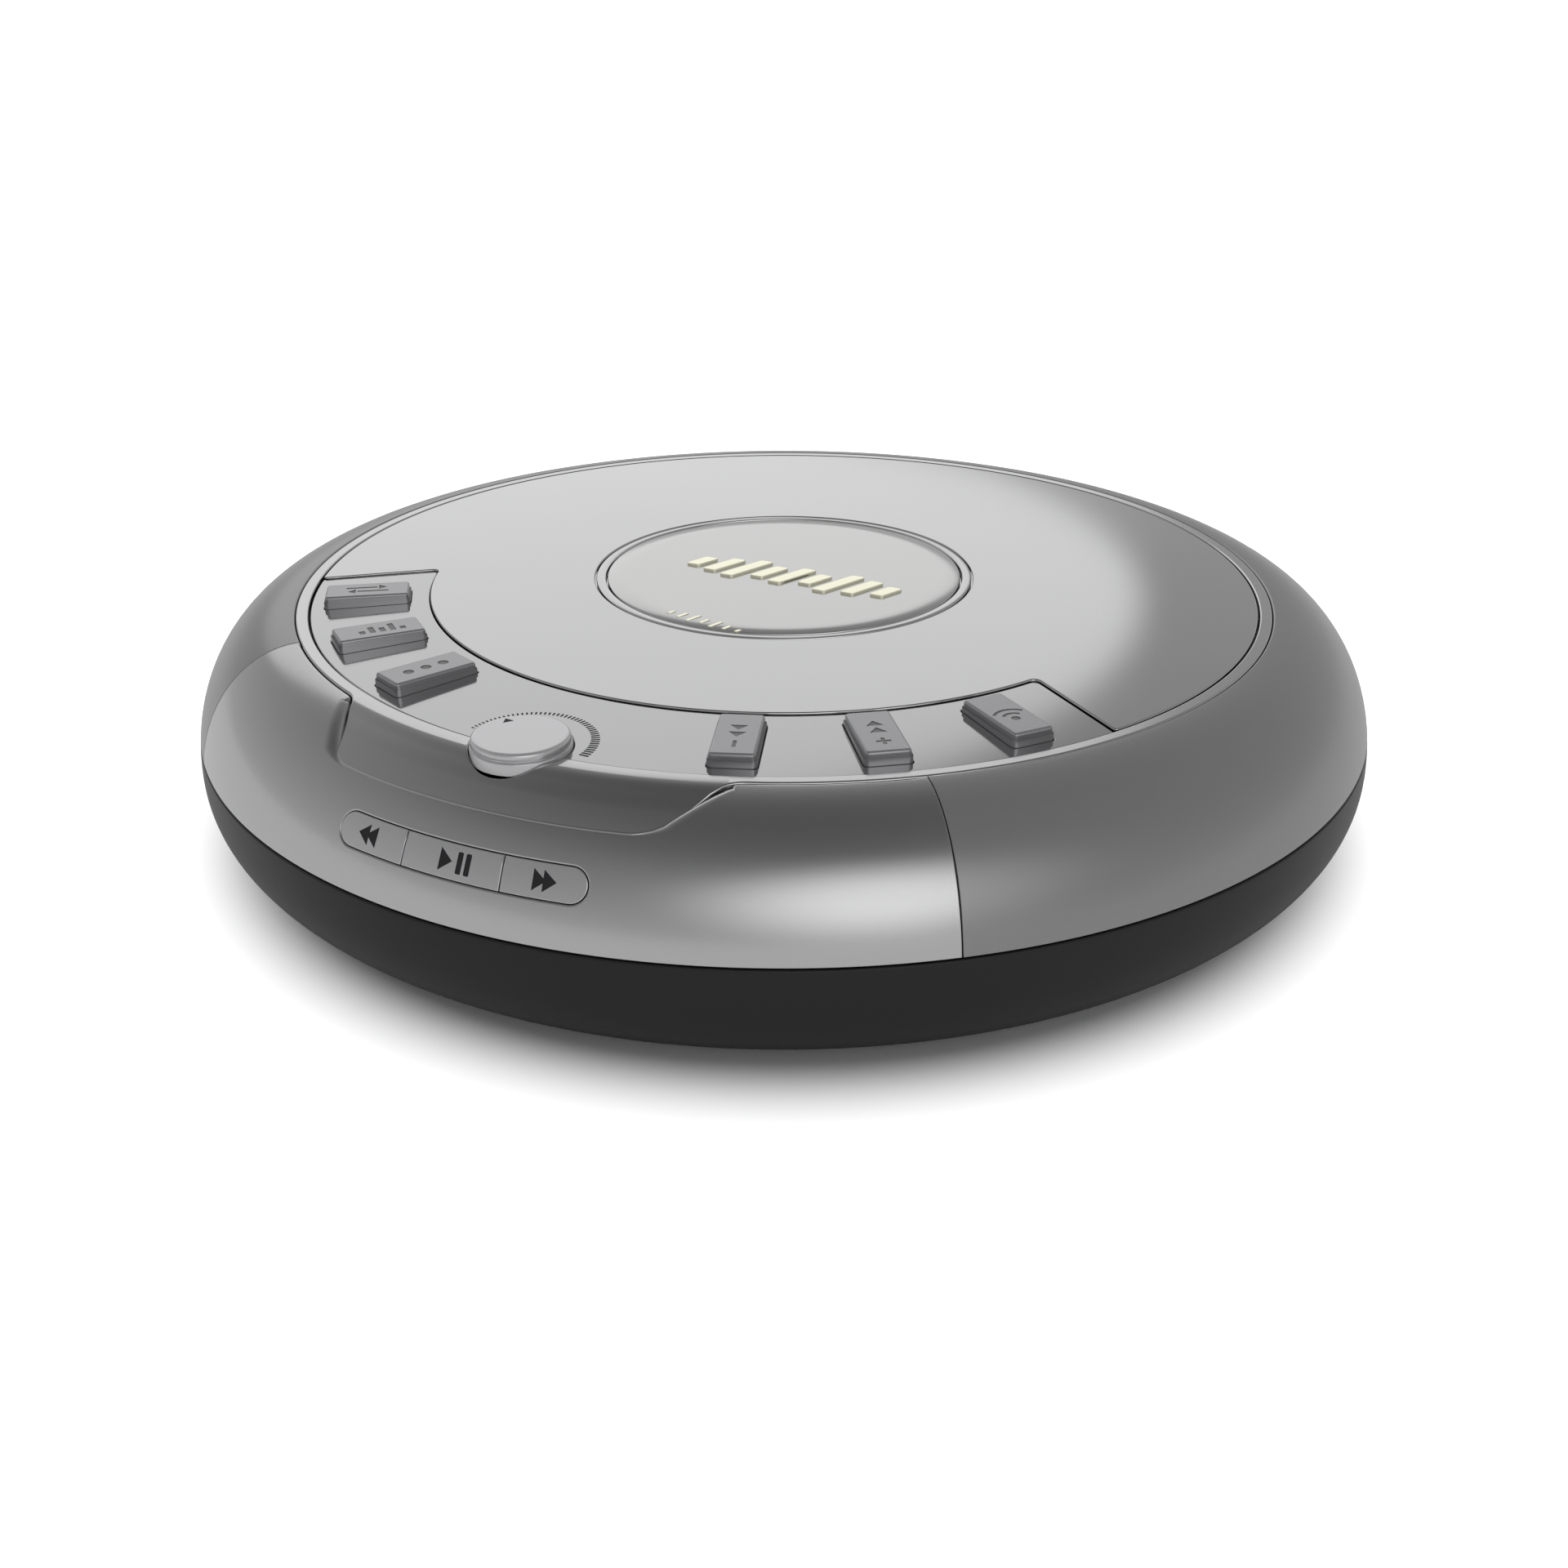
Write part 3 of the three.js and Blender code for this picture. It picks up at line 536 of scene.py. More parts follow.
# The scoop in front of the knob: radius and downward slope, from the ring's flat top to the panel.
SCOOP = ((83.3, 0.0), (86.0, 0.75), (88.5, 0.36), (93.5, 0.24))


def shelf_height(x, y):
    """The ring's flat top, which rolls down in front of the knob into a finger scoop."""
    r = np.hypot(x, y)
    z = np.full_like(r, LID_Z)
    for (start, slope), (end, next_slope) in zip(SCOOP[:-1], SCOOP[1:]):
        run = np.clip(r - start, 0, end - start)
        z = z - slope * run - (next_slope - slope) * run ** 2 / (2 * (end - start))
    return z


def case_cover(points, drop):
    """The case's upper profile, from its flat sheet."""
    bearing, rise = points[:, 0] / ACROSS, points[:, 1] / UP
    wide, tall = BELLY_R - RIM_R - GAP, LID_Z - BELLY_Z
    out, up = np.cos(rise) / wide, np.sin(rise) / tall
    size = np.hypot(out, up)
    out, up = out / size, up / size
    r = RIM_R + GAP + wide * np.cos(rise) - out * np.ravel(drop)
    z = BELLY_Z + tall * np.sin(rise) - up * np.ravel(drop)
    spots = np.stack([r * np.sin(bearing), -r * np.cos(bearing), z], 1)
    return spots, np.stack([out * np.sin(bearing), -out * np.cos(bearing), up], 1)


def to_case(plan):
    """Plan points on the case's shoulder, in the case cover's layout."""
    r = np.hypot(plan[:, 0], plan[:, 1])
    rise = np.arccos(np.clip((r - RIM_R - GAP) / (BELLY_R - RIM_R - GAP), 0, 1))
    return np.stack([np.arctan2(plan[:, 0], -plan[:, 1]) * ACROSS, rise * UP], 1)


def across(bearing):
    """A bearing's place across the flat sheet of the case."""
    return bearing * math.pi / 180 * ACROSS


def rise_at(z):
    """A height's place up the flat sheet of the case."""
    return math.asin((z - BELLY_Z) / (LID_Z - BELLY_Z)) * UP


# --- Materials ----------------------------------------------------------------------------

ROUGH_SWING, SMUDGE = 0.015, 0.02


def add_node(tree, kind, **sockets):
    """A new shader node with some of its sockets set: To_Min stands for the socket To Min."""
    node = tree.nodes.new("ShaderNode" + kind)
    for name, value in sockets.items():
        node.inputs[name.replace("_", " ")].default_value = value
    return node


def surface(name, color, rough, metallic=0.0, coat=0.0, coat_rough=0.1, grain=900.0, mottle=0.035,
            bump=0.012, specular=0.5):
    """A moulded or lacquered finish: fine grain, slow colour drift and faint smudges in the gloss."""
    material = bpy.data.materials.new(name)
    material.use_nodes = True
    tree = material.node_tree
    link = tree.links.new
    shader = tree.nodes["Principled BSDF"]
    shader.inputs["Metallic"].default_value = metallic
    shader.inputs["Coat Weight"].default_value = coat
    shader.inputs["Coat Roughness"].default_value = coat_rough
    shader.inputs["Specular IOR Level"].default_value = specular
    darker = (*[c * (1 - mottle) for c in color], 1)
    lighter = (*[min(1, c * (1 + mottle)) for c in color], 1)
    coords = add_node(tree, "TexCoord")
    fine = add_node(tree, "TexNoise", Scale=grain, Detail=3)
    slow = add_node(tree, "TexNoise", Scale=22, Detail=4)
    blend = add_node(tree, "MixRGB", Color1=darker, Color2=lighter)
    drift = add_node(tree, "MixRGB", Fac=0.35)
    gloss = add_node(tree, "MapRange", To_Min=rough - ROUGH_SWING, To_Max=rough + ROUGH_SWING + SMUDGE)
    relief = add_node(tree, "Bump", Strength=bump, Distance=0.00006)
    link(coords.outputs["Object"], fine.inputs["Vector"])
    link(coords.outputs["Object"], slow.inputs["Vector"])
    link(fine.outputs["Fac"], drift.inputs["Color1"])
    link(slow.outputs["Fac"], drift.inputs["Color2"])
    link(drift.outputs["Color"], blend.inputs["Fac"])
    link(blend.outputs["Color"], shader.inputs["Base Color"])
    link(slow.outputs["Fac"], gloss.inputs["Value"])
    link(gloss.outputs["Result"], shader.inputs["Roughness"])
    link(fine.outputs["Fac"], relief.inputs["Height"])
    link(relief.outputs["Normal"], shader.inputs["Normal"])
    return material


def brushed(name, color):
    """Metal with fine draw lines along one direction."""
    material = surface(name, color, 0.28, 1.0, bump=0.05)
    tree = material.node_tree
    mapping = add_node(tree, "Mapping", Scale=(1, 1, 60))
    coords = next(n for n in tree.nodes if n.type == "TEX_COORD")
    fine = next(n for n in tree.nodes if n.type == "TEX_NOISE" and n.inputs["Scale"].default_value > 100)
    tree.links.new(coords.outputs["Object"], mapping.inputs["Vector"])
    tree.links.new(mapping.outputs["Vector"], fine.inputs["Vector"])
    return material


SILVER = (0.64, 0.64, 0.645)
LOOK = {
    "lid": surface("lid_lacquer", SILVER, 0.09, 1.0, 0.1, 0.1, grain=2600),
    "badge": surface("badge_lacquer", (0.66, 0.66, 0.655), 0.14, 1.0, 0.1, 0.1, grain=2600),
    "ring": surface("ring_lacquer", (0.66, 0.66, 0.66), 0.13, 1.0, 0.1, 0.08, grain=2600),
    "crescent": surface("crescent_lacquer", (0.56, 0.56, 0.565), 0.09, 1.0, 0.15, 0.05, grain=2600),
    "panel": surface("panel_lacquer", (0.57, 0.57, 0.575), 0.2, 0.98, 0.1, 0.12, grain=2600),
    "bumper": surface("bumper_lacquer", (0.27, 0.265, 0.27), 0.28, 0.8, 0.1, 0.15, grain=2600),
    "button": surface("button_lacquer", (0.34, 0.34, 0.35), 0.24, 0.85, 0.1, 0.15, grain=2600),
    "button_mark": surface("button_mark", (0.12, 0.12, 0.122), 0.4, 0.5),
    "key": surface("key_lacquer", (0.54, 0.54, 0.55), 0.22, 0.9, 0.1, 0.12, grain=2600),
    "ink": surface("key_ink", (0.01, 0.01, 0.011), 0.5, specular=0.2),
    "knob": surface("knob_lacquer", (0.6, 0.6, 0.61), 0.26, 0.85, 0.1, 0.15, grain=2600),
    "base": surface("base_plastic", (0.008, 0.008, 0.0085), 0.36, bump=0.06, grain=2400, specular=0.28),
    "under": surface("lid_underside", (0.2, 0.2, 0.205), 0.5, 0.3, bump=0.08, grain=2200),
    "deck": surface("deck_plastic", (0.05, 0.051, 0.054), 0.5, bump=0.2, grain=2200),
    "inner": surface("inner_plastic", (0.03, 0.03, 0.032), 0.45, bump=0.1, grain=2000),
    "natural": surface("natural_plastic", (0.72, 0.7, 0.63), 0.4, bump=0.05),
    "rubber": surface("foot_rubber", (0.02, 0.02, 0.021), 0.8, bump=0.25, grain=2500),
    "board": surface("board_mask", (0.02, 0.1, 0.045), 0.35, mottle=0.2, bump=0.05),
    "chip": surface("chip_epoxy", (0.02, 0.02, 0.022), 0.55, bump=0.15, grain=2600),
    "steel": brushed("drawn_steel", (0.62, 0.62, 0.63)),
    "gold": surface("emblem_gold", (0.86, 0.84, 0.66), 0.3, 0.6),
    "lens": surface("lens_coating", (0.03, 0.05, 0.1), 0.08, 0.2, 0.8, 0.02, mottle=0.1),
}


# --- Outer case ---------------------------------------------------------------------------

SEAM_FILLET = 0.16

def base_profile(wall, steps):
    """Points up the base's side, a wall inside its outer face."""
    points = []
    for i in range(steps + 1):
        t = (math.pi / 2) * i / steps
        r = FLAT_R + (BELLY_R - FLAT_R - wall) * math.sin(t) ** (2 / BASE_POWER)
        z = BELLY_Z - (BELLY_Z - FLOOR_Z - wall) * math.cos(t) ** (2 / BASE_POWER)
        points.append((r, z))
    return points


def base_outline():
    """The base's outer face up to the seam, its rounded lip, and its inner face."""
    lip = 0.35
    outline = [(0, FLOOR_Z)] + base_profile(0, 32)
    top = SEAM_Z - GAP / 2
    wide, tall = BELLY_R - RIM_R - GAP, LID_Z - BELLY_Z
    for z in np.linspace(BELLY_Z, top - lip, 5)[1:]:
        outline.append((RIM_R + GAP + wide * math.sqrt(1 - ((z - BELLY_Z) / tall) ** 2), z))
    edge = outline[-1][0]
    for k in range(1, 5):
        a = (math.pi / 2) * k / 4
        outline.append((edge - lip * (1 - math.cos(a)), top - lip + lip * math.sin(a)))
    outline.append((edge - WALL, top))
    return outline + base_profile(WALL, 12)[::-1] + [(0, FLOOR_Z + WALL)]


def drill(x, y, z, r, depth, direction="Z", turn=0.0):
    """A cutter: a cylinder about its middle, drawn for the front and turned to a bearing."""
    work = bmesh.new()
    size = {"radius1": r * MM, "radius2": r * MM, "depth": depth * MM}
    bmesh.ops.create_cone(work, cap_ends=True, segments=48, **size)
    if direction == "Y":
        bmesh.ops.rotate(work, verts=work.verts, matrix=Matrix.Rotation(math.pi / 2, 3, "X"))
    bmesh.ops.translate(work, verts=work.verts, vec=(x * MM, y * MM, z * MM))
    bmesh.ops.rotate(work, verts=work.verts, matrix=Matrix.Rotation(math.radians(turn), 3, "Z"))
    mesh = bpy.data.meshes.new("cutter")
    work.to_mesh(mesh)
    work.free()
    return new_object("cutter", mesh)


def base_shell():
    """The base, cut out for the battery door, feet, screws, sockets and hold switch."""
    item = lathe("base_shell_body", base_outline(), LOOK["base"], 256)
    gap = 0.4
    low, high = ([c / MM for c in corner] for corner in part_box("battery_door"))
    cutters = [block((low[0] - gap, low[1] - gap, -3), (high[0] + gap, high[1] + gap, 6), 0.5)]
    for i in range(1, 5):
        foot = node_mid(f"foot_{i}")
        cutters.append(drill(foot.x, foot.y, 0, 6.4, 3.8))
        screw = node_mid(f"case_screw_{i}")
        cutters.append(drill(screw.x, screw.y, 0, 2.7, 6.4))
    for turn in JACK_TURNS:
        cutters.append(drill(0, -100, JACK_Z, 4.0, 20, "Y", turn))
    cutters.append(block((-5.2, -110, JACK_Z - 1.9), (5.2, -90, JACK_Z + 1.9), 0.8, HOLD_TURN))
    carve(item, cutters)
    place(item, "case", "base_black", "base_shell")


def case_panel(name, start, end, hole, top_path, lip, material, slot, node):
    """A stretch of the silver band between two bearings, with one hole. lip gives the fillet of its edge
    along the ring: heights up the flat sheet, and the radius at each."""
    low = rise_at(SEAM_Z + GAP / 2)
    left, right = across(start), across(end)
    outline = dense(np.concatenate([np.array([(left, low), (right, low)]), top_path]), 2.0)
    along = unit(np.roll(outline, -1, 0) - np.roll(outline, 1, 0))
    upper = (outline[:, 1] > rise_at(OPEN_Z)) & (along[:, 0] < 0.5)
    for seam in (left, right):
        upper &= np.abs(outline[:, 0] - seam) > 1.5
    edge = np.where(upper, np.interp(outline[:, 1], *lip), SEAM_FILLET)
    columns = np.arange(left + 1.2, right - 0.5, 2.2)
    rows = np.arange(low + 0.9, math.pi / 2 * UP - 0.4, 1.5)
    grid = lattice(columns, rows)
    item = skin(name, [outline, hole], case_cover, [material], [edge, 0.3], [(0, WALL)], grid, squash=0.7)
    place(item, "case", slot, node)


def rear_bumper():
    """The dark band round the sides and back, with the open button's hole."""
    start, end = PANEL_TURN + 0.05, 360 - PANEL_TURN - 0.05
    path = np.array([(across(end), SHEET_TOP), (across(start), SHEET_TOP)])
    hole = moved(rounded_rect(7.6, 16.6, 1.6), (across(360 + LATCH_TURN), rise_at(OPEN_Z)))[::-1]
    lip = ((0, 1), (0.4, 0.4))
    case_panel("rear_bumper_band", start, end, hole, path, lip,
               LOOK["bumper"], "bumper_grey", "rear_bumper")


def shelf_path(grow):
    """The shelf's edge from the left end to the right, leaving and rejoining the ring smoothly."""
    foot = polar(SHELF_R + grow, SHELF_FOOT_TURN)
    top = polar(RIM_R + grow, SHELF_TOP_TURN)
    side = [(-top[0], top[1]), (-foot[0], foot[1])]
    bottom = [tuple(p) for p in arc(SHELF_R + grow, -SHELF_FOOT_TURN + 4, SHELF_FOOT_TURN - 4, 1.0)]
    ring_left = [tuple(p) for p in arc(RIM_R + grow, -SHELF_TOP_TURN - 6, -SHELF_TOP_TURN - 3, 1.0)]
    ring_right = [(-x, y) for x, y in ring_left[::-1]]
    outline = ring_left + side + bottom + [(foot[0], foot[1]), (top[0], top[1])] + ring_right
    first = len(ring_left)
    last = first + 2 + len(bottom)
    radii = {first: 5.0, first + 1: 6.5, last: 6.5, last + 1: 5.0}
    return np.array(round_corners(outline, radii, 10))


def front_panel():
    """The silver front between the two seams, cut out for the shelf and for the keys. Its edge is most
    rounded on the shelf's sloping sides."""
    edge = PANEL_TURN - 0.05
    shelf = to_case(shelf_path(GAP))[::-1]
    path = np.concatenate([[(across(edge), SHEET_TOP)], shelf, [(across(-edge), SHEET_TOP)]])
    hole = key_outline(-1, 1, -0.02)[::-1]
    radii = (SHELF_R + GAP, 91.4, RIM_R + GAP + 0.4)
    foot, side, ring = (to_case(polar(np.array([r]), 0.0))[0, 1] for r in radii)
    lip = ((foot, side, ring - 0.1, ring), (0.3, 2.2, 2.2, 0.8))
    case_panel("front_panel_face", -edge, edge, hole, path, lip,
               LOOK["panel"], "panel_silver", "front_panel")


def key_outline(left, right, grow):
    """A stretch of the keys' pill between two places: -1 and 1 are its round ends."""
    tall = KEY_TALL / 2 - 0.35 + grow
    half = KEY_HALF - 0.4 + grow
    points = []
    if right == 1:
        a = np.linspace(-math.pi / 2, math.pi / 2, 15)
        points += list(np.stack([half - tall + tall * np.cos(a), tall * np.sin(a)], 1))
    else:
        points += [(right, -tall), (right, tall)]
    if left == -1:
        a = np.linspace(math.pi / 2, 3 * math.pi / 2, 15)
        points += list(np.stack([tall - half + tall * np.cos(a), tall * np.sin(a)], 1))
    else:
        points += [(left, tall), (left, -tall)]
    return dense(np.array(points) + key_middle(), 1.5)


def key_middle():
    """The middle of the keys' pill on the flat sheet."""
    return np.array([across(KEY_TURN), math.radians(KEY_TILT) * UP])


def ring_bite(r):
    """The bearing where the knob's pocket meets a circle of the given radius."""
    return math.degrees(math.acos((KNOB_Y ** 2 + r ** 2 - POCKET_R ** 2) / (2 * abs(KNOB_Y) * r)))


def pocket_arc(r, outer):
    """The pocket's edge between its two crossings of a circle: its outer or its inner part."""
    bite = ring_bite(r)
    right = polar(r, bite) - np.array([0, KNOB_Y])
    a = math.atan2(right[1], right[0])
    angles = np.linspace(a, -math.pi - a, 40) if outer else np.linspace(math.pi - a, a, 40)
    return np.stack([POCKET_R * np.cos(angles), KNOB_Y + POCKET_R * np.sin(angles)], 1)


def top_ring():
    """The ring round the lid, with the scooped shelf in front and a bite round the knob."""
    gap = GAP - 0.12
    shelf = shelf_path(gap)
    turn = math.degrees(math.atan2(shelf[-1][0], -shelf[-1][1]))
    outer = np.concatenate([shelf, arc(RIM_R + gap, turn, 360 - turn)[1:-1]])
    r = LID_R + GAP
    bite = ring_bite(r)
    inner = np.concatenate([arc(r, 360 - bite, bite), pocket_arc(r, True)[1:-1]])
    grid = np.concatenate([arc(radius, -26, 26, 0.6) for radius in np.arange(83.5, 92.6, 0.42)])
    item = skin("top_ring_lip", [dense(outer, 1.6), dense(inner, 1.6)], plan_cover(shelf_height),
                [LOOK["ring"]], [0.32, 0.28], [(0, 2.2)], grid)
    place(item, "case", "ring_silver", "top_ring")


def ring_ledge():
    """The ledge under the lid's edge and its skirt, cut for the hinge arms and the volume control."""
    low, high, inner, skirt, outer = 32.4, 36.0, 79.2, 80.4, 82.4
    outline = [(inner, low), (skirt - 0.1, low), (skirt, low + 0.1), (skirt, high - 1.2),
               (outer, high - 1.2), (outer, high), (inner + 0.2, high), (inner, high - 0.2)]
    ledge = lathe("top_ring_ledge", outline, LOOK["deck"])
    cutters = [block((x - 3.5, 60, 30), (x + 3.5, 81.5, 36.5), 0.3) for x in (-16, 16)]
    cutters.append(block((-6.5, -90, 30), (6.5, -73.8, 37), 0.3))
    place(carve(ledge, cutters), "case", "deck_grey")


# --- Control crescent ---------------------------------------------------------------------

def crescent_height(x, y):
    return lid_height(x, y) - CRESCENT_SINK


def crescent():
    """The control strip in front of the lid, with the buttons' holes and its part of the knob's pocket."""
    bite = ring_bite(LID_R)
    outer = np.concatenate([arc(LID_R, -CRESCENT_OUTER_TURN, -bite), pocket_arc(LID_R, False)[1:-1],
                            arc(LID_R, bite, CRESCENT_OUTER_TURN)])
    inner = arc(CRESCENT_R, CRESCENT_INNER_TURN, -CRESCENT_INNER_TURN)
    points = [tuple(p) for p in np.concatenate([outer, inner])]
    n = len(outer)
    outline = np.array(round_corners(points, {n - 1: 0.5, n: 0.8, len(points) - 1: 0.8, 0: 0.5}, 5))
    hole = rounded_rect(BUTTON_LONG + 0.16, BUTTON_WIDE + 0.16, 0.7)
    holes = [moved(hole, polar(BUTTON_R, turn), turn)[::-1] for turn in BUTTON_TURNS.values()]
    grid = np.concatenate([arc(r, -66, 66, 1.6) for r in np.arange(62.5, 80.6, 1.7)])
    item = skin("control_crescent_plate", [dense(outline, 1.6)] + holes, plan_cover(crescent_height),
                [LOOK["crescent"]], [0.25] + [0.15] * len(holes), [(0, 2.0)], grid)
    place(item, "case", "crescent_grey", "control_crescent")


# Signs: outlines of a bar, an arrowhead, and a bow, which is a stretch of a thick circle.
def bar_mark(x0, x1, y0, y1):
    return np.array([(x0, y0), (x1, y0), (x1, y1), (x0, y1)])


def arrow_mark(x, y, size, direction):
    return np.array([(x, y - size), (x + direction * size * 1.3, y), (x, y + size)])


def bow_mark(x, y, r, thick):
    a = np.radians(np.linspace(-50, 50, 9))
    out = np.stack([x + r * np.cos(a), y + r * np.sin(a)], 1)
    back = np.stack([x + (r - thick) * np.cos(a[::-1]), y + (r - thick) * np.sin(a[::-1])], 1)
    return np.concatenate([out, back])


def pictograph(name):
    """Generic signs, drawn along the button: x runs from its outer end to its inner end."""
    if name == "repeat":
        return [bar_mark(-2.6, 1.2, 0.45, 0.85), arrow_mark(1.4, 0.65, 0.75, 1),
                bar_mark(-1.2, 2.6, -0.85, -0.45), arrow_mark(-1.4, -0.65, 0.75, -1)]
    if name == "equaliser":
        return [bar_mark(-2.4 + 1.2 * i, -1.7 + 1.2 * i, -1.1, -1.1 + tall)
                for i, tall in enumerate((1.0, 2.0, 1.4, 2.3, 0.9))]
    if name == "mode":
        return [circle(-2.2 + 2.2 * i, 0, 0.62, 20) for i in range(3)]
    if name == "slower":
        return [arrow_mark(0.4, 0, 0.95, -1), arrow_mark(2.1, 0, 0.95, -1), bar_mark(-3.4, -1.8, -0.2, 0.2)]
    if name == "faster":
        plus = np.array([(-3.4, -0.2), (-2.8, -0.2), (-2.8, -0.8), (-2.4, -0.8), (-2.4, -0.2), (-1.8, -0.2),
                         (-1.8, 0.2), (-2.4, 0.2), (-2.4, 0.8), (-2.8, 0.8), (-2.8, 0.2), (-3.4, 0.2)])
        return [arrow_mark(-0.4, 0, 0.95, 1), arrow_mark(1.3, 0, 0.95, 1), plus]
    return [circle(-1.6, 0, 0.5, 18), bow_mark(-1.6, 0, 1.5, 0.4), bow_mark(-1.6, 0, 2.5, 0.4)]


def clockwise(loop):
    """The loop, turned round if it runs anticlockwise."""
    x, y = loop[:, 0], loop[:, 1]
    area = np.sum(x * np.roll(y, -1) - y * np.roll(x, -1))
    return loop[::-1] if area > 0 else loop


def button(name, turn):
    """A push button with a flared foot and a sunk sign."""
    at = polar(BUTTON_R, turn)
    outline = moved(rounded_rect(BUTTON_LONG - 0.5, BUTTON_WIDE - 0.5, 0.55), at, turn)
    marks = []
    for mark in pictograph(name):
        upright = np.stack([-mark[:, 1], mark[:, 0]], 1) * MARK_SIZE
        marks.append((clockwise(moved(upright, at, turn)), 0.12, 1))
    levels = [(0, 0.85), (-0.12, 0.95), (-0.25, 1.05), (-0.25, 4.6)]
    item = skin(f"{name}_button_cap", [outline], level(BUTTON_Z), [LOOK["button"], LOOK["button_mark"]],
                0.42, levels, pockets=marks)
    place(item, f"{name}_button", "button_grey", f"{name}_button")


def key(name, left, right, marks):
    """One of the three transport keys, with a printed sign in a shallow recess."""
    pockets = [(clockwise(mark + key_middle()), 0.06, 1) for mark in marks]
    outline = key_outline(left, right, -0.14)
    low, high = outline.min(0), outline.max(0)
    grid = lattice(np.arange(low[0], high[0], 1.1), np.arange(low[1], high[1], 1.1))
    item = skin(f"{name}_key_cap", [outline], case_cover, [LOOK["key"], LOOK["ink"]], 0.16,
                [(0, 2.8)], grid, pockets=pockets)
    place(item, f"{name}_key", "key_silver", f"{name}_key")


def keys():
    """The transport keys in their pill, from left to right."""
    left, right = KEY_SPLITS
    size = 1.5
    back = [arrow_mark(-13.1, 0, size, -1), arrow_mark(-14.6, 0, size, -1)]
    run = [arrow_mark(-1.9, 0, size + 0.1, 1), round_bar(1.35), round_bar(2.65)]
    ahead = [arrow_mark(12.5, 0, size, 1), arrow_mark(14.0, 0, size, 1)]
    key("rewind", -1, left - KEY_GAP, [merged_arrows(back, -1)])
    key("play", left + KEY_GAP, right - KEY_GAP, run)
    key("forward", right + KEY_GAP, 1, [merged_arrows(ahead, 1)])


def round_bar(x):
    return moved(rounded_rect(3.0, 0.85, 0.2, 3), (x, 0))


def merged_arrows(arrows, direction):
    """Two arrowheads that touch, as one outline."""
    first, second = arrows
    reach = abs(first[1][0] - first[0][0])
    step = abs(second[0][0] - first[0][0])
    at = first[0][0]
    size = abs(first[0][1])
    notch = size * (1 - step / reach)
    return np.array([(at, -size), (at + direction * step, -notch), (at + direction * step, -size),
                     (at + direction * (step + reach), 0), (at + direction * step, size),
                     (at + direction * step, notch), (at, size)])


# The knob's printed marker is drawn at its back and turned this far to the left.
MARKER_SPIN = 55


def volume_knob():
    """A flat cap over a wider skirt, with a groove between them and a printed marker."""
    cap = [(0, 0), (6.2, 0), (6.5, 0), (6.62, 0.02), (6.84, 0.12), (6.95, 0.28), (7.0, 0.45), (7.0, 0.95)]
    groove = [(6.95, 1.05), (6.86, 1.1), (6.86, 1.22), (6.98, 1.28)]
    skirt = [(7.15, 1.4), (7.22, 1.6), (7.22, 3.1), (7.1, 3.2), (3.4, 3.2), (3.4, 1.6), (0, 1.6)]
    outline = [(r, KNOB_Z - drop) for r, drop in cap + groove + skirt]
    knob = lathe("volume_knob_cap", outline, LOOK["knob"], 128, (0, KNOB_Y))
    place(knob, "volume_knob", "knob_grey", "volume_knob")
    tip = moved(np.array([(-0.75, 4.9), (0, 6.05), (0.75, 4.9)]), (0, KNOB_Y), MARKER_SPIN)
    marker = skin("volume_marker", [tip], level(KNOB_Z + 0.03), [LOOK["ink"]], 0.01, [(0, 0.04)])
    place(marker, "volume_knob", "knob_grey")


def volume_scale():
    """Printed ticks round the back of the knob, from dots on the left to bold strokes on the right."""
    ticks = []
    for i in range(TICKS):
        share = i / (TICKS - 1)
        angle = 176 * (1 - share)
        long = 0.5 + 1.0 * share ** 1.3
        wide = 0.24 + 0.1 * share
        mid = SCALE_R - long / 2
        spot = (mid * math.cos(math.radians(angle)), SCALE_Y + mid * math.sin(math.radians(angle)))
        height = shelf_height if math.hypot(*spot) > LID_R else crescent_height
        cover = plan_cover(lambda x, y: height(x, y) + 0.02)
        mark = moved(rounded_rect(wide, long, 0.04, 2), spot, angle)
        ticks.append(skin(f"tick_{i}", [mark], cover, [LOOK["ink"]], 0.005, [(0, 0.03)]))
    place(join("volume_scale", ticks), "case", "crescent_grey")


# --- Lid ----------------------------------------------------------------------------------

def lid_shell():
    """The domed lid, cut away round the crescent, with a seat for the badge."""
    outer = arc(LID_R, CRESCENT_OUTER_TURN + LID_GAP, 360 - CRESCENT_OUTER_TURN - LID_GAP)
    inner = arc(CRESCENT_R - LID_GAP, -CRESCENT_INNER_TURN - LID_GAP, CRESCENT_INNER_TURN + LID_GAP)
    points = [tuple(p) for p in np.concatenate([outer, inner])]
    n = len(outer)
    outline = np.array(round_corners(points, {n - 1: 0.6, n: 1.0, len(points) - 1: 1.0, 0: 0.6}, 5))
    seat = circle(0, 0, BADGE_RING_R + GAP, 160, True)
    item = skin("lid_shell", [dense(outline, 2.0), seat], plan_cover(lid_height),
                [LOOK["lid"], LOOK["under"]], [0.24, 0.25], [(LID_UNDERCUT, LID_THICK)],
                plan_grid(80.4, 2.6), floors={1: 1.05}, under_grid=plan_grid(78, 5), under_slot=1)
    place(item, "lid", "lid_silver", "lid_panel")


